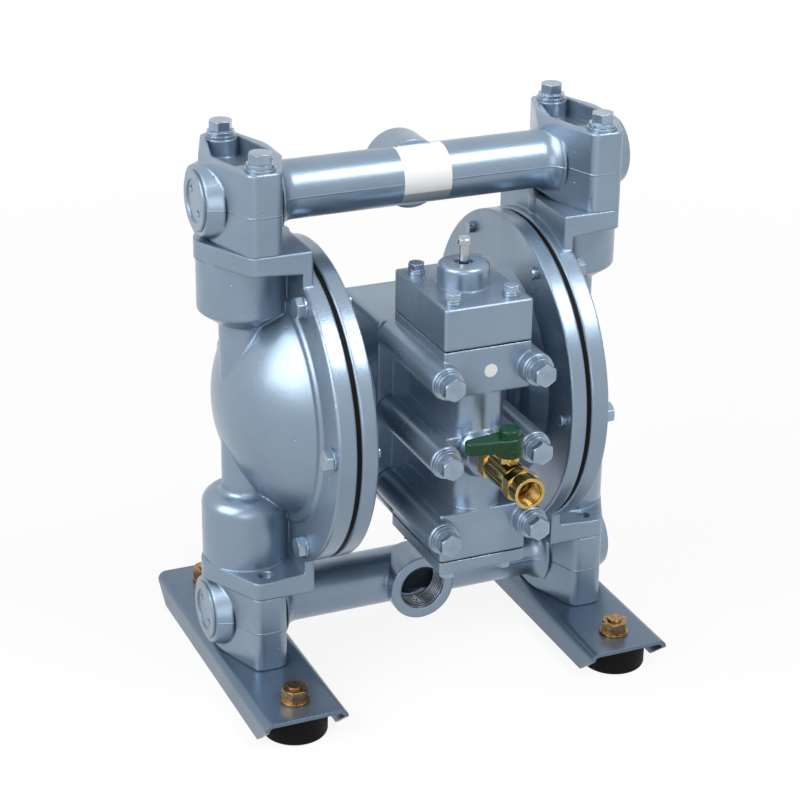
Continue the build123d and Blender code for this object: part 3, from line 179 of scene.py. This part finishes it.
@dataclass(frozen=True)
class Finish:
    """A finish with colour variation, roughness variation and relief.

    The second colour shows in soft patches of patch_mm, by up to the patchiness.
    """

    name: str
    colour: str
    patch_colour: str
    patch_mm: float
    patchiness: float
    metallic: float
    roughness: float
    roughness_spread: float
    grains: tuple[Grain, ...] = ()
    rounding_mm: float = 0.0
    coat: float = 0.0
    coat_roughness: float = 0.1
    shine: float = 0.5
    seam_mm: float | None = None

    def build(self) -> bpy.types.Material:
        """Builds the node material.

        Returns:
            The finished material.
        """
        material = bpy.data.materials.new(self.name)
        material.use_nodes = True
        tree = material.node_tree
        tree.nodes.clear()
        place = add_node(tree, "ShaderNodeTexCoord").outputs["Object"]
        patches = add_node(tree, "ShaderNodeTexNoise", {
            "Vector": place, "Scale": 1 / (self.patch_mm * MM), "Detail": 5.0, "Roughness": 0.6,
        }).outputs["Fac"]
        amount = add_node(tree, "ShaderNodeMapRange", {
            "Value": patches, "From Min": PATCH_START, "From Max": PATCH_FULL, "To Max": self.patchiness,
        }).outputs["Result"]
        colour = add_node(tree, "ShaderNodeMix", {
            "Factor": amount, 6: linear(self.colour), 7: linear(self.patch_colour),
        }, data_type="RGBA").outputs[2]
        roughness = add_node(tree, "ShaderNodeMapRange", {
            "Value": patches, "From Min": SMOOTH_START, "From Max": PATCH_FULL,
            "To Min": max(LEAST_ROUGHNESS, self.roughness - self.roughness_spread),
            "To Max": self.roughness + self.roughness_spread,
        }).outputs["Result"]
        shader = add_node(tree, "ShaderNodeBsdfPrincipled", {
            "Base Color": colour, "Roughness": roughness, "Metallic": self.metallic,
            "Coat Weight": self.coat, "Coat Roughness": self.coat_roughness,
            "Specular IOR Level": self.shine,
        })
        normal = self.relief(tree, place)
        if normal is not None:
            tree.links.new(normal, shader.inputs["Normal"])
        add_node(tree, "ShaderNodeOutputMaterial", {"Surface": shader.outputs[0]})
        return material

    def relief(self, tree: bpy.types.NodeTree,
               place: bpy.types.NodeSocket) -> bpy.types.NodeSocket | None:
        """Stacks the relief layers on softly rounded edges.

        Args:
            tree: The material's node tree.
            place: The coordinates that the layers read.

        Returns:
            The normal, or None where the finish is plain.
        """
        normal = None
        if self.rounding_mm:
            radius = self.rounding_mm * MM
            normal = add_node(tree, "ShaderNodeBevel", {"Radius": radius}, samples=BEVEL_SAMPLES).outputs[0]
        for grain in self.grains:
            height = self.grain_height(tree, place, grain)
            normal = self.raise_by(tree, height, grain.height_mm, normal)
        if self.seam_mm is not None:
            level = add_node(tree, "ShaderNodeSeparateXYZ", {0: place}).outputs["Z"]
            off = add_node(tree, "ShaderNodeMath", {
                0: level, 1: self.seam_mm * MM,
            }, operation="SUBTRACT").outputs[0]
            far = add_node(tree, "ShaderNodeMath", {0: off}, operation="ABSOLUTE").outputs[0]
            ridge = add_node(tree, "ShaderNodeMapRange", {
                "Value": far, "From Max": SEAM_HALF_WIDTH_MM * MM, "To Min": 1.0, "To Max": 0.0,
            }, interpolation_type="SMOOTHSTEP").outputs["Result"]
            normal = self.raise_by(tree, ridge, SEAM_HEIGHT_MM, normal)
        return normal

    def grain_height(self, tree: bpy.types.NodeTree, place: bpy.types.NodeSocket,
                     grain: Grain) -> bpy.types.NodeSocket:
        """The height of one relief layer, from 0 to 1.

        Args:
            tree: The material's node tree.
            place: The coordinates that the layer reads.
            grain: The layer's size and kind.

        Returns:
            The height.
        """
        scale = 1 / (grain.size_mm * MM)
        if grain.relief is Relief.NOISE:
            return add_node(tree, "ShaderNodeTexNoise", {
                "Vector": place, "Scale": scale, "Detail": 3.0, "Roughness": 0.55,
            }).outputs["Fac"]
        cells = add_node(tree, "ShaderNodeTexVoronoi", {"Vector": place, "Scale": scale})
        if grain.relief is Relief.CELLS:
            return cells.outputs["Distance"]
        dents = add_node(tree, "ShaderNodeMapRange", {
            "Value": cells.outputs["Distance"], "From Min": PIT_FLOOR, "From Max": PIT_BRIM,
        }).outputs["Result"]
        lot = add_node(tree, "ShaderNodeSeparateColor", {0: cells.outputs["Color"]}).outputs["Red"]
        spared = add_node(tree, "ShaderNodeMath", {
            0: lot, 1: PIT_SHARE,
        }, operation="GREATER_THAN").outputs[0]
        return add_node(tree, "ShaderNodeMath", {0: dents, 1: spared}, operation="MAXIMUM").outputs[0]

    def raise_by(self, tree: bpy.types.NodeTree, height: bpy.types.NodeSocket, height_mm: float,
                 normal: bpy.types.NodeSocket | None) -> bpy.types.NodeSocket:
        """Adds one relief layer on top of the others.

        Args:
            tree: The material's node tree.
            height: The layer's height, from 0 to 1.
            height_mm: What a height of 1 stands for.
            normal: The normal below it, or None.

        Returns:
            The new normal.
        """
        bump = add_node(tree, "ShaderNodeBump", {
            "Height": height, "Distance": height_mm * MM, "Strength": 1.0,
        })
        if normal is not None:
            tree.links.new(normal, bump.inputs["Normal"])
        return bump.outputs[0]


# Silver-blue sprayed paint on sand-cast aluminium: a bright sheen over a faint sandy grain and a few pits.
CAST_PAINT = Finish(
    "sprayed_silver_paint_on_casting", "8a9cae", "788a9c", 60, 0.6, 0.7, 0.3, 0.06,
    (Grain(9.0, 0.07), Grain(1.3, 0.06), Grain(7.0, 0.25, Relief.PITS)), rounding_mm=2.2, coat=0.12,
    coat_roughness=0.15,
)
# The manifolds show the line where the halves of their mould met, level with the tube's middle.
UPPER_SEAM_PAINT = replace(CAST_PAINT, name="sprayed_silver_paint_with_upper_seam", seam_mm=354.0)
LOWER_SEAM_PAINT = replace(CAST_PAINT, name="sprayed_silver_paint_with_lower_seam", seam_mm=52.0)
# The same paint on folded sheet steel, which is smoother. Its colours are set darker than the castings' to
# paint in the shade that lies on the channels: painted shade.
SHEET_PAINT_DARKENED_AS_PAINTED_SHADE = Finish(
    "sprayed_silver_paint_on_sheet_darkened_as_painted_shade", "66788c", "586a7e", 80, 0.6, 0.7, 0.3, 0.06,
    (Grain(2.0, 0.02),), rounding_mm=0.6, coat=0.1, coat_roughness=0.15,
)
# Painted bolt heads in the castings' paint, set lighter than the castings to paint in the light that the
# small heads catch: painted light. Darker patches vary the tone at random.
BOLT_PAINT_LIGHTENED_AS_PAINTED_LIGHT = Finish(
    "painted_bolt_steel_lightened_as_painted_light", "9aabbc", "7b8c9d", 12, 0.6, 0.8, 0.22, 0.07,
    (Grain(1.2, 0.02),), rounding_mm=0.7, coat=0.25,
)
# Turned steel, for nuts and shafts that nobody painted.
TURNED_STEEL = Finish(
    "turned_steel", "b4b7ba", "8d9195", 10, 0.5, 1.0, 0.24, 0.08, (Grain(0.8, 0.01),),
    rounding_mm=0.3,
)
# Yellow chromate on zinc, which runs from straw to a pinkish brown.
YELLOW_ZINC = Finish(
    "yellow_chromate_zinc", "b0935f", "6a4a46", 3, 1.0, 1.0, 0.24, 0.08, (Grain(0.8, 0.02),),
    rounding_mm=0.5,
)
# Bright drawn brass with a light polish.
POLISHED_BRASS = Finish(
    "polished_brass", "c9ab6c", "937b4a", 6, 0.7, 1.0, 0.15, 0.05, (Grain(1.5, 0.01),), rounding_mm=0.5,
)
# Moulded rubber, nearly black, with a dusty bloom.
MOULDED_RUBBER = Finish(
    "moulded_black_rubber", "050505", "0b0b0c", 20, 0.6, 0.0, 0.6, 0.1, (Grain(0.9, 0.03),),
    rounding_mm=0.4, shine=0.12,
)
# Dipped vinyl on the lever: deep green and glossy.
DIPPED_VINYL = Finish(
    "dipped_green_vinyl", "043f24", "032b18", 8, 0.6, 0.0, 0.3, 0.05, (Grain(3.0, 0.03),),
    rounding_mm=0.8, coat=0.15, shine=0.25,
)
# Chrome plate on the ball of the ball valve, close to a mirror.
CHROME_PLATE = Finish("chrome_plate", "cfd2d4", "b9bdc1", 20, 0.4, 1.0, 0.09, 0.03)
# Die-cast aluminium of the clamping disks, left bare and satin.
CAST_ALUMINIUM = Finish(
    "die_cast_aluminium", "b3b6b9", "9a9da1", 20, 0.5, 1.0, 0.38, 0.08, (Grain(1.2, 0.03),), rounding_mm=0.5,
)
# Filled PTFE of the check balls, waxy and off-white.
FILLED_PTFE = Finish("filled_ptfe", "e4e2dc", "d3d1ca", 15, 0.5, 0.0, 0.4, 0.05, (Grain(0.9, 0.01),))
# Sintered bronze beads of the silencer, drawn coarse enough to show.
SINTERED_BRONZE = Finish(
    "sintered_bronze", "a5834e", "7d6237", 6, 0.7, 0.9, 0.5, 0.1, (Grain(1.1, 0.18, Relief.CELLS),),
)
# Printed vinyl, glossy over a plain white. A grey copy of it along the lower edge of the band, where the tube
# turns under, paints in the shade that falls there: painted shade.
WHITE_VINYL = Finish("white_vinyl_sticker", "f3f4f5", "e9ebed", 30, 0.4, 0.0, 0.28, 0.04)
VINYL_GREYED_AS_PAINTED_SHADE = Finish("vinyl_greyed_as_painted_shade", "a9adb1", "9da1a6", 20, 0.4, 0.0, 0.3, 0.04)
# Cut threads keep the bare metal of what they are cut in.
CUT_ALUMINIUM = Finish(
    "cut_aluminium_thread", "8b9197", "6d7379", 6, 0.6, 1.0, 0.3, 0.08, (Grain(0.9, 0.02),),
)

SLOT_FINISHES = {
    "painted_castings": CAST_PAINT,
    # The channels take the sheet paint that is darkened as painted shade.
    "painted_channels": SHEET_PAINT_DARKENED_AS_PAINTED_SHADE,
    "plug_metal": CAST_PAINT,
    # The bolts take the bolt paint that is lightened as painted light.
    "steel_fasteners": BOLT_PAINT_LIGHTENED_AS_PAINTED_LIGHT,
    "zinc_fasteners": YELLOW_ZINC,
    "diaphragm_rubber": MOULDED_RUBBER,
    "seal_rubber": MOULDED_RUBBER,
    "foot_rubber": MOULDED_RUBBER,
    "polished_steel": TURNED_STEEL,
    "disk_aluminium": CAST_ALUMINIUM,
    "seat_steel": TURNED_STEEL,
    "ball_plastic": FILLED_PTFE,
    "brass": POLISHED_BRASS,
    "ball_chrome": CHROME_PLATE,
    "handle_coating": DIPPED_VINYL,
    "silencer_bronze": SINTERED_BRONZE,
}
# The pump is sprayed once it is put together, so the edge of the air valve's gasket is painted as well.
NODE_FINISHES = {
    "upper_manifold": UPPER_SEAM_PAINT,
    "lower_manifold": LOWER_SEAM_PAINT,
    "air_valve_gasket": CAST_PAINT,
}


@dataclass
class FinishShop:
    """Builds each finish once and puts it on the model's own nodes."""

    built: dict[str, bpy.types.Material] = field(default_factory=dict)

    def material(self, finish: Finish) -> bpy.types.Material:
        """The material of a finish, built on first use.

        Args:
            finish: The finish wanted.

        Returns:
            Its material.
        """
        if finish.name not in self.built:
            self.built[finish.name] = finish.build()
        return self.built[finish.name]

    def dress_nodes(self, frame: dict) -> None:
        """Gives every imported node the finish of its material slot.
        """
        for part in frame["record"]["subparts"]:
            node = frame["nodes"][part["node"]]
            finish = NODE_FINISHES.get(part["node"], SLOT_FINISHES[part["material_slot"]])
            material = self.material(finish)
            node.data.materials.clear()
            node.data.materials.append(material)
            LOG.info("dressed %s as %s", part["node"], material.name)

    def finished_piece(self, name: str, shape: bmesh.types.BMesh, finish: Finish, body: str | None,
                       slot: str) -> bpy.types.Object:
        """Turns a shape into a finished piece.

        Args:
            name: The piece's name.
            shape: Its mesh, which is used up.
            finish: Its finish.
            body: The body that carries it, or None for a piece that no body carries.
            slot: The record's material slot that it belongs to; not used.

        Returns:
            The piece.
        """
        mesh = bpy.data.meshes.new(name)
        shape.to_mesh(mesh)
        shape.free()
        mesh.materials.clear()
        mesh.materials.append(self.material(finish))
        piece = bpy.data.objects.new(name, mesh)
        bpy.context.collection.objects.link(piece)
        if body is not None:
            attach(piece, body)
        return piece


@dataclass(frozen=True)
class Thread:
    """One kind of screw thread and the places where it is cut.

    A thread's turns start at its place and run along the place's own z axis.
    """

    name: str
    body: str
    slot: str
    finish: Finish
    radius_mm: float
    pitch_mm: float
    length_mm: float
    ridge_mm: float
    places: tuple[Matrix, ...]


@dataclass
class ThreadCutter:
    """Draws screw threads as ridges that follow a spiral, from one node tree."""

    shop: FinishShop
    steps_per_turn: int = 40
    tree: bpy.types.NodeTree | None = None

    def build_tree(self) -> bpy.types.NodeTree:
        """Builds the tree: a spiral, swept with a three-sided ridge.

        Returns:
            The node tree.
        """
        tree = bpy.data.node_groups.new("thread_ridges", "GeometryNodeTree")
        for name in ("Radius", "Pitch", "Turns", "Ridge"):
            tree.interface.new_socket(name, in_out="INPUT", socket_type="NodeSocketFloat")
        tree.interface.new_socket("Material", in_out="INPUT", socket_type="NodeSocketMaterial")
        tree.interface.new_socket("Geometry", in_out="OUTPUT", socket_type="NodeSocketGeometry")
        size = add_node(tree, "NodeGroupInput").outputs
        height = add_node(tree, "ShaderNodeMath", {
            0: size["Pitch"], 1: size["Turns"],
        }, operation="MULTIPLY").outputs[0]
        spiral = add_node(tree, "GeometryNodeCurveSpiral", {
            "Resolution": self.steps_per_turn, "Rotations": size["Turns"],
            "Start Radius": size["Radius"], "End Radius": size["Radius"], "Height": height,
        })
        ridge = add_node(tree, "GeometryNodeCurvePrimitiveCircle", {"Resolution": 3, "Radius": size["Ridge"]})
        swept = add_node(tree, "GeometryNodeCurveToMesh", {
            "Curve": spiral.outputs[0], "Profile Curve": ridge.outputs[0], "Fill Caps": True,
        })
        real = add_node(tree, "GeometryNodeRealizeInstances", {0: swept.outputs[0]})
        dressed = add_node(tree, "GeometryNodeSetMaterial", {
            "Geometry": real.outputs[0], "Material": size["Material"],
        })
        add_node(tree, "NodeGroupOutput", {0: dressed.outputs[0]})
        return tree

    def turns(self, thread: Thread) -> bpy.types.Mesh:
        """The ridges of one thread, along its own z axis.

        Args:
            thread: The kind of thread.

        Returns:
            A plain mesh.
        """
        self.tree = self.tree or self.build_tree()
        carrier = bpy.data.objects.new("thread_carrier", bpy.data.meshes.new("thread_carrier"))
        bpy.context.collection.objects.link(carrier)
        modifier = carrier.modifiers.new("ridges", "NODES")
        modifier.node_group = self.tree
        values = {
            "Radius": thread.radius_mm * MM, "Pitch": thread.pitch_mm * MM,
            "Turns": thread.length_mm / thread.pitch_mm, "Ridge": thread.ridge_mm * MM,
            "Material": self.shop.material(thread.finish),
        }
        for item in self.tree.interface.items_tree:
            if item.in_out == "INPUT":
                modifier[item.identifier] = values[item.name]
        ready = carrier.evaluated_get(bpy.context.evaluated_depsgraph_get())
        mesh = bpy.data.meshes.new_from_object(ready)
        carrier.modifiers.clear()
        bpy.data.objects.remove(carrier)
        return mesh

    def cut(self, thread: Thread) -> bpy.types.Object:
        """Puts the ridges of one thread at all its places.

        Args:
            thread: The kind of thread and its places.

        Returns:
            The finished piece.
        """
        ridges = self.turns(thread)
        shape = bmesh.new()
        for place in thread.places:
            placed = ridges.copy()
            placed.transform(place)
            shape.from_mesh(placed)
        bmesh.ops.remove_doubles(shape, verts=shape.verts, dist=1e-7)
        bmesh.ops.recalc_face_normals(shape, faces=shape.faces)
        return self.shop.finished_piece(thread.name, shape, thread.finish, thread.body, thread.slot)


@dataclass
class PortThreads:
    """Where the pump has threads that can be seen."""

    port_y: float = 28.7
    port_z: float = 151.0
    inlet_y: float = 190.0
    inlet_z: float = -2.0
    rim_x: float = 70.0
    rim_bolt_radius: float = 101.0
    stud_x: float = 122.5
    stud_y: float = 92.6
    stud_top_z: float = -168.0
    stud_thread: float = 1.6
    edge: float = 0.6
    bolts_a_rim: int = 6

    def threads(self) -> list[Thread]:
        """Lists the threads of ports, inlet, studs and bolt ends.

        Returns:
            The threads.
        """
        ports = (
            Axis.REAR.at((0, self.edge - self.port_y, -self.port_z)),
            Axis.FRONT.at((0, self.port_y - self.edge, self.port_z)),
        )
        inlet = (Axis.REAR.at((0, self.edge - self.inlet_y, self.inlet_z)),)
        studs = tuple(
            Axis.UP.at((x * self.stud_x, y * self.stud_y, self.stud_top_z - self.stud_thread))
            for x in (-1, 1) for y in (-1, 1)
        )
        ends = []
        for side, way in ((-1, Axis.RIGHT), (1, Axis.LEFT)):
            for number in range(self.bolts_a_rim):
                turn = math.radians(360 / self.bolts_a_rim * number)
                across, level = self.rim_bolt_radius * math.cos(turn), self.rim_bolt_radius * math.sin(turn)
                ends.append(way.at((side * self.rim_x, across, level)))
        return [
            Thread(
                "port_threads", "pump", "painted_castings", CUT_ALUMINIUM,
                radius_mm=16.45, pitch_mm=2.309, length_mm=18.0, ridge_mm=1.0, places=ports,
            ),
            Thread(
                "inlet_threads", "pump", "brass", POLISHED_BRASS,
                radius_mm=8.25, pitch_mm=1.337, length_mm=12.4, ridge_mm=0.6, places=inlet,
            ),
            Thread(
                "stud_threads", "pump", "zinc_fasteners", YELLOW_ZINC,
                radius_mm=4.85, pitch_mm=1.0, length_mm=1.2, ridge_mm=0.36, places=studs,
            ),
            # The bolt ends take the bolt paint that is lightened as painted light.
            Thread(
                "bolt_end_threads", "pump", "steel_fasteners", BOLT_PAINT_LIGHTENED_AS_PAINTED_LIGHT,
                radius_mm=3.85, pitch_mm=1.25, length_mm=3.6, ridge_mm=0.36, places=tuple(ends),
            ),
        ]

    def build(self, cutter: ThreadCutter) -> None:
        """Cuts every thread.

        Args:
            cutter: What draws them.
        """
        for thread in self.threads():
            piece = cutter.cut(thread)
            LOG.info("cut %s", piece.name)


@dataclass
class Stickers:
    """The plain vinyl band on the upper tube and the plain dot on the air valve."""

    band_left: float = -14.0
    band_right: float = 20.5
    tube_radius: float = 19.9
    tube_z: float = 151.0
    vinyl: float = 0.12
    sink: float = 0.05
    dot_edge: float = 0.03
    top_degrees: float = 97.0
    strip_degrees: float = -22.0
    low_degrees: float = -44.0
    dot_x: float = 1.9
    dot_z: float = 56.4
    dot_radius: float = 4.6
    valve_front: float = 125.0
    steps: int = 48

    def band(self, shop: FinishShop, name: str, finish: Finish, start: float, end: float) -> None:
        """Wraps a strip of vinyl over part of the upper tube.

        Args:
            shop: What finishes the piece.
            name: The piece's name.
            finish: Its finish.
            start: Its lower edge, in degrees up from the front.
            end: Its upper edge.
        """
        shape = bmesh.new()
        rows = []
        for step in range(self.steps + 1):
            turn = math.radians(start + (end - start) * step / self.steps)
            row = []
            for radius in (self.tube_radius - self.sink, self.tube_radius + self.vinyl):
                for x in (self.band_left, self.band_right):
                    spot = Vector((x, -radius * math.cos(turn), self.tube_z + radius * math.sin(turn)))
                    row.append(shape.verts.new(spot * MM + Vector((0, 0, PUMP_HEIGHT))))
            rows.append(row)
        for low, high in zip(rows, rows[1:]):
            for a, b in ((0, 1), (1, 3), (3, 2), (2, 0)):
                shape.faces.new((low[a], low[b], high[b], high[a]))
        for row in (rows[0], rows[-1]):
            shape.faces.new((row[0], row[1], row[3], row[2]))
        bmesh.ops.recalc_face_normals(shape, faces=shape.faces)
        shop.finished_piece(name, shape, finish, "pump", "painted_castings")

    def dot(self, shop: FinishShop) -> None:
        """Sticks the dot on the front of the air valve.

        Args:
            shop: What finishes the piece.
        """
        shape = bmesh.new()
        place = Axis.FRONT.at((self.dot_x, -self.valve_front - self.vinyl / 2, self.dot_z))
        bmesh.ops.create_cone(
            shape, cap_ends=True, segments=self.steps, radius1=self.dot_radius * MM,
            radius2=self.dot_radius * MM, depth=self.vinyl * MM, matrix=place,
        )
        edges = [edge for edge in shape.edges if edge.calc_length() < self.dot_radius * MM]
        bmesh.ops.bevel(shape, geom=edges, offset=self.dot_edge * MM, segments=1, affect="EDGES")
        shop.finished_piece("round_sticker", shape, WHITE_VINYL, "pump", "painted_castings")

    def build(self, shop: FinishShop) -> None:
        """Makes the band, the grey strip of painted shade along its lower edge, and the dot.

        Args:
            shop: What finishes the pieces.
        """
        self.band(shop, "white_band", WHITE_VINYL, self.strip_degrees, self.top_degrees)
        # The grey strip paints the shade on the lower edge of the white band: painted shade.
        self.band(shop, "band_edge_in_painted_shade", VINYL_GREYED_AS_PAINTED_SHADE, self.low_degrees, self.strip_degrees)
        self.dot(shop)
        LOG.info("stuck the band and the dot")


@dataclass
class FlexingParts:
    """The diaphragms and the reset spring, which change shape as the pump works."""

    sectors: int = 12
    rim_radius: float = 76.0
    hub_radius: float = 58.0
    spring_travel: float = 5.0

    def build(self, shop: FinishShop, frame: dict) -> None:
        """Makes both diaphragms and the spring.

        Args:
            shop: What finishes the pieces.
        """
        for node in ("left_diaphragm", "right_diaphragm"):
            self.diaphragm(shop, frame["nodes"][node], node)
        self.spring(shop, frame["nodes"]["reset_spring"])
        LOG.info("made the diaphragms and the spring flexible")

    def diaphragm(self, shop: FinishShop, source: bpy.types.Object, node: str) -> None:
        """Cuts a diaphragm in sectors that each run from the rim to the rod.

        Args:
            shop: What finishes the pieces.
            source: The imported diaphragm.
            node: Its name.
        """
        middle = Vector((0, 0, PUMP_HEIGHT))
        step = 2 * math.pi / self.sectors
        for number in range(self.sectors):
            shape = bmesh.new()
            shape.from_mesh(source.data)
            for turn, way in ((number * step, 1), ((number + 1) * step, -1)):
                across = Vector((0, -math.sin(turn), math.cos(turn))) * way
                everything = shape.verts[:] + shape.edges[:] + shape.faces[:]
                bmesh.ops.bisect_plane(
                    shape, geom=everything, dist=1e-7, plane_co=middle, plane_no=across, clear_inner=True,
                )
            piece = shop.finished_piece(
                f"{node}_sector_{number + 1}", shape, MOULDED_RUBBER, None, "diaphragm_rubber",
            )
            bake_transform(piece)
            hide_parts(node)

    def spring(self, shop: FinishShop, source: bpy.types.Object) -> None:
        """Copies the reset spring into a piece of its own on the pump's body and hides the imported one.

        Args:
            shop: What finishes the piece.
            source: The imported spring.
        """
        shape = bmesh.new()
        shape.from_mesh(source.data)
        piece = shop.finished_piece("reset_spring_coils", shape, TURNED_STEEL, "pump", "polished_steel")
        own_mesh(piece)
        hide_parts("reset_spring")


@dataclass
class Viewpoint:
    """The photograph's camera, fitted to the pump's own points."""

    place_mm: tuple[float, float, float] = (-583.57, -1313.89, 825.53)
    right: tuple[float, float, float] = (0.917812, -0.396820, 0.012381)
    up: tuple[float, float, float] = (0.150663, 0.376983, 0.913884)
    back: tuple[float, float, float] = (-0.367315, -0.836910, 0.405786)
    focal_pixels: float = 2236.11
    sensor_mm: float = 36.0

    def build(self) -> bpy.types.Object:
        """Makes the camera and sets it as the scene's.

        Returns:
            The camera.
        """
        data = bpy.data.cameras.new("view")
        data.sensor_width = self.sensor_mm
        data.lens = self.focal_pixels / IMAGE_PIXELS * self.sensor_mm
        data.clip_start = 0.05
        camera = bpy.data.objects.new("view", data)
        bpy.context.collection.objects.link(camera)
        turn = Matrix((self.right, self.up, self.back)).transposed().to_4x4()
        camera.matrix_world = Matrix.Translation(Vector(self.place_mm) * MM) @ turn
        bpy.context.scene.camera = camera
        return camera


@dataclass(frozen=True)
class SoftLamp:
    """A square lamp that points at the pump, its place and side in metres."""

    name: str
    place: tuple[float, float, float]
    side: float
    watts: float

    def build(self) -> None:
        """Hangs the lamp."""
        data = bpy.data.lights.new(self.name, "AREA")
        data.size = self.side
        data.energy = self.watts
        lamp = bpy.data.objects.new(self.name, data)
        bpy.context.collection.objects.link(lamp)
        aim = Vector((0, 0, PUMP_HEIGHT)) - Vector(self.place)
        turn = aim.to_track_quat("-Z", "Y").to_matrix().to_4x4()
        lamp.matrix_world = Matrix.Translation(self.place) @ turn


@dataclass
class Studio:
    """A white floor, a white surround and three soft lamps.

    The floor shows its shadows within shadow_reach of the pump and is plain white from white_reach on.
    """

    floor_half: float = 6.0
    floor_white: str = "f4f4f4"
    floor_bounce: str = "565656"
    floor_glow: float = 0.9
    world_level: float = 0.22
    shadow_reach: float = 0.35
    white_reach: float = 1.4
    lamps: tuple[SoftLamp, ...] = (
        SoftLamp("key", (-1.95, -0.5, 1.65), 1.9, 54.0),
        SoftLamp("top", (0.85, -1.15, 2.0), 1.0, 31.0),
        SoftLamp("front", (-1.1, -2.5, 0.6), 1.4, 12.0),
    )

    def build(self) -> None:
        """Makes the floor, the surround and the lamps."""
        self.build_world()
        self.build_floor()
        for lamp in self.lamps:
            lamp.build()

    def seen(self, tree: bpy.types.NodeTree) -> bpy.types.NodeSocket:
        """Tells the rays that show the background from those that carry its light.

        Args:
            tree: The material's or world's node tree.

        Returns:
            One for camera, glossy and transmission rays, zero for the others.
        """
        path = add_node(tree, "ShaderNodeLightPath").outputs
        total = path["Is Camera Ray"]
        for name in ("Is Glossy Ray", "Is Transmission Ray"):
            total = add_node(tree, "ShaderNodeMath", {
                0: total, 1: path[name],
            }, operation="MAXIMUM").outputs[0]
        return total

    def build_world(self) -> None:
        """Makes a surround that looks white and lights the pump softly."""
        world = bpy.data.worlds.new("surround")
        bpy.context.scene.world = world
        world.use_nodes = True
        tree = world.node_tree
        tree.nodes.clear()
        level = add_node(tree, "ShaderNodeMapRange", {
            "Value": self.seen(tree), "To Min": self.world_level, "To Max": 1.0,
        }).outputs["Result"]
        glow = add_node(tree, "ShaderNodeBackground", {"Color": (1, 1, 1, 1), "Strength": level})
        add_node(tree, "ShaderNodeOutputWorld", {"Surface": glow.outputs[0]})

    def build_floor(self) -> None:
        """Makes a white floor that keeps the pump's shadow."""
        h = self.floor_half
        mesh = bpy.data.meshes.new("floor")
        mesh.from_pydata([(-h, -h, 0), (h, -h, 0), (h, h, 0), (-h, h, 0)], [], [(0, 1, 2, 3)])
        floor = bpy.data.objects.new("floor", mesh)
        bpy.context.collection.objects.link(floor)
        material = bpy.data.materials.new("white_floor")
        material.use_nodes = True
        tree = material.node_tree
        tree.nodes.clear()
        spread = add_node(tree, "ShaderNodeLightPath").outputs["Is Diffuse Ray"]
        colour = add_node(tree, "ShaderNodeMix", {
            "Factor": spread, 6: linear(self.floor_white), 7: linear(self.floor_bounce),
        }, data_type="RGBA").outputs[2]
        paper = add_node(tree, "ShaderNodeBsdfDiffuse", {"Color": colour})
        glow = add_node(tree, "ShaderNodeEmission", {"Color": (1, 1, 1, 1), "Strength": 1.0})
        spot = add_node(tree, "ShaderNodeTexCoord").outputs["Object"]
        reach = add_node(tree, "ShaderNodeVectorMath", {0: spot}, operation="LENGTH").outputs["Value"]
        glow_share = add_node(tree, "ShaderNodeMapRange", {
            "Value": reach, "From Min": self.shadow_reach, "From Max": self.white_reach,
            "To Min": self.floor_glow, "To Max": 1.0,
        }, interpolation_type="SMOOTHSTEP").outputs["Result"]
        share = add_node(tree, "ShaderNodeMath", {
            0: self.seen(tree), 1: glow_share,
        }, operation="MULTIPLY").outputs[0]
        mix = add_node(tree, "ShaderNodeMixShader", {0: share, 1: paper.outputs[0], 2: glow.outputs[0]})
        add_node(tree, "ShaderNodeOutputMaterial", {"Surface": mix.outputs[0]})
        mesh.materials.append(material)


def main() -> None:
    logging.basicConfig(level=logging.INFO, format="%(name)s: %(message)s")
    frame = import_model()
    bpy.context.scene.view_settings.view_transform = "Standard"
    Viewpoint().build()
    Studio().build()
    shop = FinishShop()
    shop.dress_nodes(frame)
    PortThreads().build(ThreadCutter(shop))
    Stickers().build(shop)
    FlexingParts().build(shop, frame)


if __name__ == "__main__":
    main()
